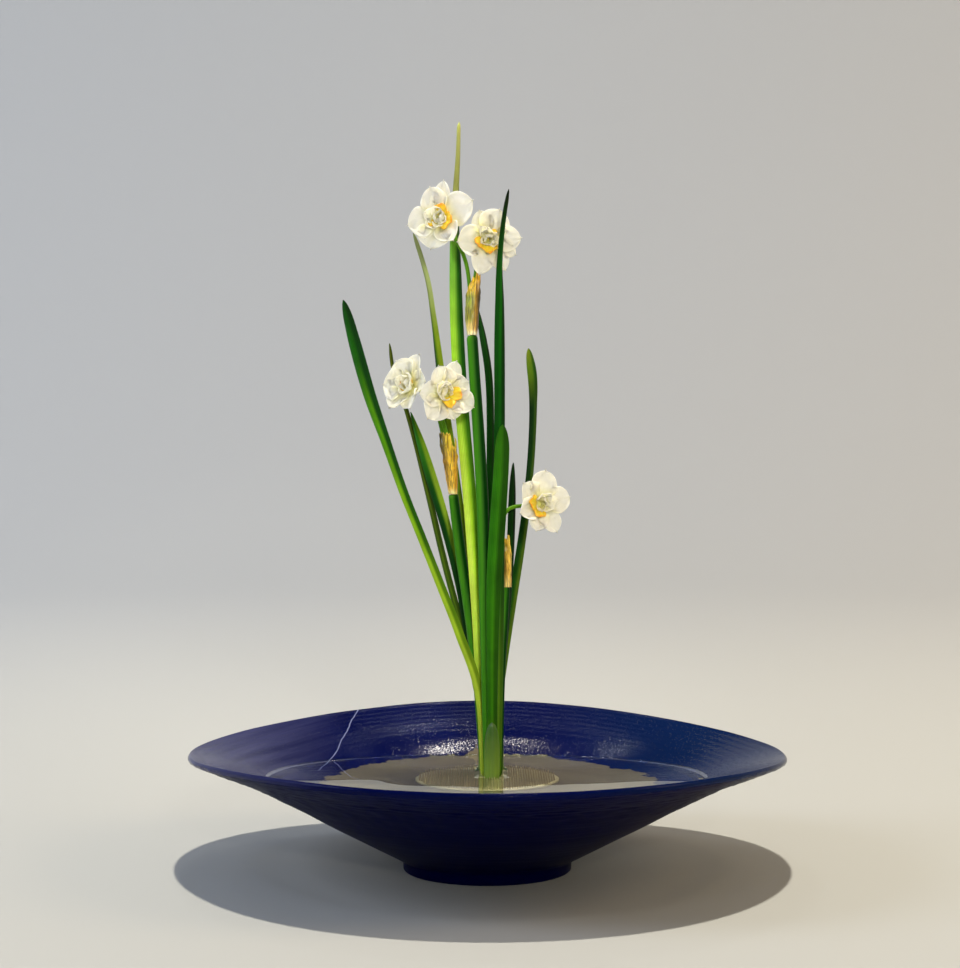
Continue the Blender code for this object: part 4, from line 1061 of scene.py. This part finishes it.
paper = dry_paper()
# The colour rows of the spathes paint one side of each dark with shade, besides their cream, brown and gold.
rolled_sheet(
    "top_spathe", "spathe_a", paper,
    [(-0.0094, 0.0383, 0.3258), (-0.0090, 0.0385, 0.344), (-0.0072, 0.0384, 0.363)],
    lambda t: 0.0028 + 0.0014 * math.sin(math.pi * t**0.8),
    facing=-60, reach=150, slope=0.35, wall=0.0003, ragged=0.22, crumple=0.0012, seed=3,
    colour_and_light_stops=[(0.0, "#F4E2A8", "#F8ECC0", "#D9BE7A"), (0.12, "#D8BC6A", "#C29A4A", "#6A4A14"),
           (0.3, "#8E8A26", "#8A6A1C", "#2C2006"), (0.62, "#8C9420", "#96761A", "#2A2408"),
           (0.8, "#D8B020", "#B88A14", "#4A3A0A"), (1.0, "#F0C62C", "#E0AE1C", "#B88A18")],
)
rolled_sheet(
    "middle_spathe", "spathe_b", paper,
    [(-0.0214, 0.0542, 0.2263), (-0.0227, 0.0530, 0.243), (-0.0245, 0.0518, 0.260)],
    lambda t: 0.0027 + 0.0025 * t,
    facing=-90, reach=150, slope=0.25, wall=0.0003, ragged=0.34, crumple=0.0015, seed=5,
    colour_and_light_stops=[(0.0, "#F4DC90", "#FAE8A8", "#E8C878"), (0.15, "#D8A828", "#ECC040", "#A87818"),
           (0.6, "#8C6A12", "#E0B430", "#C09420"), (1.0, "#6E6418", "#E4C034", "#C8B030")],
)
rolled_sheet(
    "low_spathe", "spathe_c", paper,
    [(0.0128, 0.0501, 0.168), (0.0123, 0.0495, 0.184), (0.0111, 0.0488, 0.199)],
    lambda t: 0.0024 + 0.0006 * t,
    facing=-70, reach=140, slope=0.30, wall=0.0003, ragged=0.26, crumple=0.0012, seed=8,
    colour_and_light_stops=[(0.0, "#E4C46A", "#ECD07C", "#CFA850"), (0.3, "#8E7014", "#D8AC38", "#E0B848"),
           (1.0, "#7C7416", "#DCB434", "#E4BE40")],
)


# ---------------------------------------------------------------- blooms
# Double narcissus: six or seven broad outer petals with a small point, and inside them a tuft of curled white petals
# and a torn, egg-yellow crown. A petal is a thin, juicy sheet, so light glows through it and its folds look cream.
def petal_skin():
    """Petal: thin, watery cells under a dull skin, which let light far in and keep their veins faint. Towards its root
    it turns yellow-green, a tint that also paints the shade and glow deep in the bloom.
    """
    made, tree, surface = new_material("ivory_petal")
    place = object_axes(tree)[0]
    along = node(tree, "Attribute", attribute_name="along").outputs["Fac"]
    across = node(tree, "Attribute", attribute_name="across").outputs["Fac"]
    # painted shade and glow: the petal turns yellow-green towards its root, deep in the bloom
    from_root = {0: along, 1: 0.05, 2: 0.55, 3: 1.0, 4: 0.0}
    root = node(tree, "MapRange", from_root, interpolation_type="SMOOTHSTEP").outputs[0]
    cloud = node(tree, "TexNoise", {"Vector": place, "Scale": 130.0, "Detail": 2.0}).outputs[0]
    base = node(tree, "Mix", {0: cloud, 6: linear("#FDF7D0"), 7: linear("#FFFCE4")}, data_type="RGBA").outputs[2]
    colour = node(tree, "Mix", {0: root, 6: base, 7: linear("#E8E48C")}, data_type="RGBA").outputs[2]
    veins = node(tree, "Math", {0: across, 1: 40.0}, operation="MULTIPLY").outputs[0]
    veins = node(tree, "Math", {0: veins}, operation="SINE").outputs[0]
    bump = node(tree, "Bump", {"Height": veins, "Distance": 0.00006, "Strength": 0.35}).outputs[0]
    shader = node(tree, "BsdfPrincipled", {
        "Base Color": colour, "Roughness": 0.50, "Normal": bump, "Subsurface Weight": 0.75,
        "Subsurface Radius": (1.0, 0.95, 0.75), "Subsurface Scale": 0.0030, "Specular IOR Level": 0.2,
    })
    tree.links.new(shader.outputs[0], surface)
    return made


def crown_skin():
    """Crown: thicker than a petal, egg-yellow, and orange at patches of its edge."""
    made, tree, surface = new_material("yellow_crown")
    place = object_axes(tree)[0]
    along = node(tree, "Attribute", attribute_name="along").outputs["Fac"]
    cloud = node(tree, "TexNoise", {"Vector": place, "Scale": 260.0, "Detail": 3.0}).outputs[0]
    body = node(tree, "Mix", {0: cloud, 6: linear("#EBC318"), 7: linear("#FBE04C")}, data_type="RGBA").outputs[2]
    edge = node(tree, "MapRange", {0: along, 1: 0.55, 2: 0.98, 3: 0.0, 4: 1.0}).outputs[0]
    edge = node(tree, "Math", {0: edge, 1: cloud}, operation="MULTIPLY").outputs[0]
    edge = node(tree, "MapRange", {0: edge, 1: 0.25, 2: 0.62, 3: 0.0, 4: 0.9}).outputs[0]
    colour = node(tree, "Mix", {0: edge, 6: body, 7: linear("#EC9010")}, data_type="RGBA").outputs[2]
    shader = node(tree, "BsdfPrincipled", {
        "Base Color": colour, "Roughness": 0.48, "Subsurface Weight": 0.5,
        "Subsurface Radius": (1.0, 0.7, 0.2), "Subsurface Scale": 0.0012,
    })
    tree.links.new(shader.outputs[0], surface)
    return made


PETAL_STEPS = 40  # steps along the spine of a petal
PETAL_THICKNESS, CROWN_THICKNESS = 0.00035, 0.0004
OUTER_WIDER = 1.12  # the outer petals have unrolled this much wider
OVERLAP = 0.0004  # each outer petal's root is this far in front of the last one's, three deep
TUFT_START = 0.0012  # the roots of the tuft are this far in front of the bloom's centre
PETAL_ROOT = 0.0018  # the petals start this far from the bloom's axis
CREASE, CRUMPLE = 0.00035, 0.0011  # depth of a petal's middle crease, and of its soft dents
CROWN_ROOT, CROWN_START = 0.0024, 0.0022  # radius of the crown's root, and how far it is in front of the centre
FRILL = 0.0005  # depth of the folds in the crown's edge


def bloom_axes(key):
    """Centre, then right, up and out of a bloom, as seen by someone it faces."""
    centre = Vector(BLOOMS[key]["centre"])
    out = Vector(BLOOMS[key]["facing"]).normalized()
    up = (Vector((0, 0, 1)) - out * out.z).normalized()
    return centre, up.cross(out), up, out


def petal(bm, axes, clock, length, width, lift, curl, cup, ruffle, start, seed, segments, point, colour_along_scale):
    """Adds one petal to a bloom. Angles are in degrees and lengths in metres.

    clock runs from the top as on a dial; lift is how far the petal leans forward at its root and curl how much more it
    does at its end; cup hollows it across; start is its root's distance in front of the bloom's centre; point is the
    share of its length past its blade, and the last scales how far along it counts for its colour, so below 1 the
    painted yellow-green shade of the root reaches further out.
    """
    centre, right, up, out = axes
    along = bm.verts.layers.float["along"]
    across = bm.verts.layers.float["across"]
    a = math.radians(clock)
    outward = right * math.sin(a) + up * math.cos(a)
    side = right * math.cos(a) - up * math.sin(a)
    wide, long = segments
    step = length / PETAL_STEPS
    spine = [(0.0, 0.0)]
    for i in range(PETAL_STEPS):
        angle = math.radians(lift + curl * ((i + 0.5) / PETAL_STEPS) ** 1.5)
        spine.append((spine[-1][0] + step * math.cos(angle), spine[-1][1] + step * math.sin(angle)))
    for vert in bmesh.ops.create_grid(bm, x_segments=wide, y_segments=long, size=1.0)["verts"]:
        s, t = vert.co.x, (vert.co.y + 1) / 2
        vert[across] = s
        vert[along] = t * colour_along_scale
        blade = max(math.sin(math.pi * min(t / (1 - point), 1.0) ** 1.12), 0.0) ** 0.52
        claw = 0.0009 * (1 - t) ** 0.5 + 0.00012
        half = max(width / 2 * blade * (0.45 + 0.55 * smoothstep(0.0, 0.35, t)), claw)
        shape = t * (1 - 0.03 * s * s * (1 - t))
        i = min(int(shape * PETAL_STEPS), PETAL_STEPS - 1)
        f = shape * PETAL_STEPS - i
        reach = spine[i][0] * (1 - f) + spine[i + 1][0] * f + PETAL_ROOT
        rise = spine[i][1] * (1 - f) + spine[i + 1][1] * f
        angle = math.radians(lift + curl * shape**1.5)
        hollow = cup * s * s * blade
        phase = 9.0 * t + 3.0 * seed + (2.1 if s > 0 else 0.0)
        wave = ruffle * abs(s) ** 2.2 * math.sin(phase) * math.sin(math.pi * min(t + 0.08, 1))
        crease = -CREASE * math.exp(-((s / 0.16) ** 2)) * math.sin(math.pi * t)
        crumple = CRUMPLE * noise.noise(Vector((s * 2.2 + seed, t * 3.6, seed * 1.7)))
        lifted = hollow + wave + crease + crumple
        vert.co = (
            centre
            + out * (start + rise + lifted * math.cos(angle))
            + outward * (reach - lifted * math.sin(angle))
            + side * s * half
        )


def petal_mesh():
    """An empty bmesh whose vertices can say how far along and across a petal they are."""
    bm = bmesh.new()
    bm.verts.layers.float.new("along")
    bm.verts.layers.float.new("across")
    return bm


def bloom(name, cad, skin, key, petals, tuft):
    """Builds a bloom's outer petals and tuft, from rows in millimetres and degrees, and the pale tube behind."""
    axes = bloom_axes(key)
    centre, _, _, out = axes
    bm = petal_mesh()
    for n, (clock, length, width, lift, curl, cup, ruffle) in enumerate(petals):
        petal(
            bm, axes, clock, length / 1000, width / 1000 * OUTER_WIDER, lift, curl, cup / 1000, ruffle / 600,
            start=OVERLAP * (n % 3), seed=n + 1.0, segments=(18, 26), point=0.05, colour_along_scale=1.0,
        )
    for n, (clock, length, width, lift, curl, cup, ruffle) in enumerate(tuft):
        petal(
            bm, axes, clock, length / 1000, width / 1000, lift, curl, cup / 1000, ruffle / 1000,
            start=TUFT_START, seed=n + 20.0, segments=(12, 18), point=0.02, colour_along_scale=0.7,
        )
    piece = new_piece(name, bm, skin)
    thicken(piece, PETAL_THICKNESS)
    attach(piece, "root")
    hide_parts(cad)
    bm = petal_mesh()
    path = [centre - out * (TUBE * (1 - k / 12)) for k in range(13)]
    loft(bm, tube_rings(path, lambda t: TUBE_RADIUS + TUBE_FLARE * t**3, 20))
    bmesh.ops.recalc_face_normals(bm, faces=bm.faces)
    tube = new_piece(name + "_tube", bm, skin)
    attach(tube, "root")


def crown(name, cad, skin, key, arcs, radius):
    """The torn crown: short upright frills, each along an arc from one clock angle to another."""
    centre, right, up, out = bloom_axes(key)
    bm = bmesh.new()
    along = bm.verts.layers.float.new("along")
    for n, (first, last, height, flare) in enumerate(arcs):
        columns = max(int(abs(last - first) / 3), 8)
        for vert in bmesh.ops.create_grid(bm, x_segments=columns, y_segments=10, size=1.0)["verts"]:
            s, t = (vert.co.x + 1) / 2, (vert.co.y + 1) / 2
            vert[along] = t
            a = math.radians(first + (last - first) * s)
            ends = math.sin(math.pi * min(max(s, 0.02), 0.98)) ** 0.35
            folds = math.sin(s * columns * 0.4 + n) + noise.noise(Vector((s * 9, t * 2, n * 5.0)))
            tear = 1 - 0.10 * abs(math.sin(s * columns * 0.3 + 2 * n))
            tear += 0.12 * noise.noise(Vector((s * 6, 0.5, n * 3.0)))
            opened = (radius - CROWN_ROOT) * (t**0.75) * ends
            distance = CROWN_ROOT + opened + flare / 1000 * t * t + FRILL * t * folds
            rise = CROWN_START + height / 1000 * t * tear * ends - 0.0004 * t * t
            vert.co = centre + out * rise + (right * math.sin(a) + up * math.cos(a)) * distance
    piece = new_piece(name, bm, skin)
    thicken(piece, CROWN_THICKNESS)
    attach(piece, "root")
    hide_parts(cad)


ivory = petal_skin()
yolk = crown_skin()

# clock, length, width, lift, curl, cup, ruffle: degrees and millimetres
bloom(
    "bloom_top_left", "floret_a1", ivory, "a1",
    [(341, 20.0, 15.0, 14, -6, 2.4, 0.6), (64, 23.0, 20.0, 12, 2, 2.0, 0.8), (192, 19.5, 20.0, 14, 4, 2.6, 0.7),
     (3, 23.0, 10.0, 8, -4, 1.4, 0.4), (145, 19.0, 15.0, 16, 22, 3.4, 0.7), (256, 19.5, 18.0, 16, 6, 3.0, 0.7)],
    [(285, 10.5, 9.5, 34, 20, 1.8, 1.2), (230, 10.0, 8.5, 30, 25, 1.6, 1.2), (335, 9.0, 7.0, 44, 20, 1.6, 1.0),
     (120, 7.0, 6.5, 48, 30, 1.6, 1.0), (20, 6.5, 5.5, 58, 20, 1.2, 0.9), (190, 8.0, 6.5, 46, 15, 1.4, 1.0),
     (262, 8.5, 6.0, 58, 85, 1.2, 0.9), (95, 7.5, 5.5, 62, 90, 1.2, 0.9), (170, 6.0, 4.5, 74, 60, 1.0, 0.8)],
)
crown(
    "crown_top_left", "corona_a1", yolk, "a1",
    [(-40, 60, 5.4, 1.2), (50, 175, 5.6, 1.6), (215, 260, 4.2, 0.6)], 0.0074,
)

bloom(
    "bloom_top_right", "floret_a2", ivory, "a2",
    [(22, 19.5, 18.0, 12, 4, 2.4, 0.7), (150, 21.0, 12.0, 8, 2, 2.0, 0.6), (264, 18.5, 18.0, 12, 2, 2.2, 0.7),
     (346, 17.5, 13.0, 6, 0, 1.8, 0.6), (88, 20.5, 15.0, 14, 8, 3.0, 0.8), (196, 22.5, 13.5, 12, 4, 2.4, 0.5),
     (118, 19.0, 11.0, 10, 6, 2.2, 0.7)],
    [(325, 10.5, 6.5, 40, 20, 1.6, 1.0), (350, 9.0, 7.0, 48, 25, 1.6, 1.0), (110, 9.0, 7.5, 40, 30, 1.8, 1.1),
     (60, 8.0, 6.0, 50, 25, 1.4, 1.0), (240, 7.0, 5.5, 52, 20, 1.4, 0.9), (150, 7.5, 6.0, 50, 70, 1.2, 1.0),
     (10, 8.0, 5.5, 60, 95, 1.2, 0.9), (280, 6.5, 4.5, 70, 60, 1.0, 0.8)],
)
crown(
    "crown_top_right", "corona_a2", yolk, "a2",
    [(120, 225, 5.4, 1.6), (215, 290, 5.0, 1.4), (20, 60, 4.8, 0.6)], 0.0072,
)

bloom(
    "bloom_left", "floret_b1", ivory, "b1",
    [(325, 18.5, 20.0, 22, 12, 3.2, 0.9), (85, 18.0, 17.0, 14, 6, 2.6, 1.0), (205, 18.0, 16.0, 22, 10, 3.0, 0.9),
     (22, 20.0, 15.0, 16, 2, 2.4, 0.8), (145, 19.0, 14.0, 16, 8, 2.8, 0.9), (266, 18.0, 19.0, 24, 16, 3.6, 1.0)],
    [(290, 10.0, 8.5, 40, 25, 1.8, 1.2), (50, 11.0, 9.0, 42, 30, 1.8, 1.2), (110, 10.5, 8.0, 40, 30, 1.8, 1.1),
     (180, 9.0, 8.0, 44, 30, 1.6, 1.1), (340, 8.5, 6.5, 52, 40, 1.4, 1.0), (70, 8.0, 6.0, 60, 90, 1.4, 1.0),
     (235, 7.5, 6.0, 58, 70, 1.2, 1.0)],
)
crown(
    "crown_left", "corona_b1", yolk, "b1",
    [(190, 330, 4.2, 0.4), (20, 90, 4.0, 0.4)], 0.0056,
)

bloom(
    "bloom_middle", "floret_b2", ivory, "b2",
    [(19, 20.5, 11.0, 12, 2, 2.2, 0.7), (117, 18.5, 15.0, 12, 8, 2.8, 0.9), (222, 20.5, 16.0, 12, 4, 2.6, 0.8),
     (62, 15.5, 16.0, 14, 4, 2.4, 0.8), (166, 16.0, 15.0, 10, 10, 2.4, 0.8), (268, 18.5, 15.0, 16, 2, 2.6, 0.9),
     (343, 17.0, 16.0, 16, 0, 2.6, 0.8)],
    [(300, 12.0, 10.0, 34, 35, 2.2, 1.2), (335, 10.5, 8.0, 40, 50, 2.0, 1.1), (260, 9.5, 8.5, 40, 40, 2.0, 1.1),
     (10, 8.0, 6.0, 50, 40, 1.4, 1.0), (215, 7.5, 6.0, 50, 30, 1.4, 1.0), (290, 8.5, 6.5, 56, 85, 1.4, 1.0),
     (60, 6.0, 5.0, 60, 40, 1.0, 0.8)],
)
crown(
    "crown_middle", "corona_b2", yolk, "b2",
    [(50, 140, 5.4, 1.6), (125, 215, 5.2, 1.4)], 0.0074,
)

bloom(
    "bloom_right", "floret_c", ivory, "c",
    [(10, 20.5, 17.0, 14, -2, 2.6, 0.8), (150, 20.0, 13.0, 10, 6, 2.4, 0.7), (250, 17.5, 13.0, 20, 10, 3.0, 0.8),
     (316, 17.5, 14.0, 18, 6, 2.6, 0.8), (80, 21.0, 15.0, 4, -6, 3.0, 1.1), (196, 17.0, 14.0, 14, 6, 2.6, 0.8)],
    [(80, 11.5, 8.5, 36, 15, 2.4, 1.1), (40, 10.0, 7.5, 44, 20, 2.0, 1.0), (120, 9.5, 7.5, 44, 20, 2.0, 1.0),
     (350, 8.0, 6.0, 56, 25, 1.6, 0.9), (190, 7.0, 6.0, 54, 25, 1.4, 0.9), (70, 8.0, 6.0, 60, 80, 1.2, 0.9)],
)
crown(
    "crown_right", "corona_c", yolk, "c",
    [(150, 240, 5.4, 1.6), (225, 330, 5.2, 1.4)], 0.0072,
)
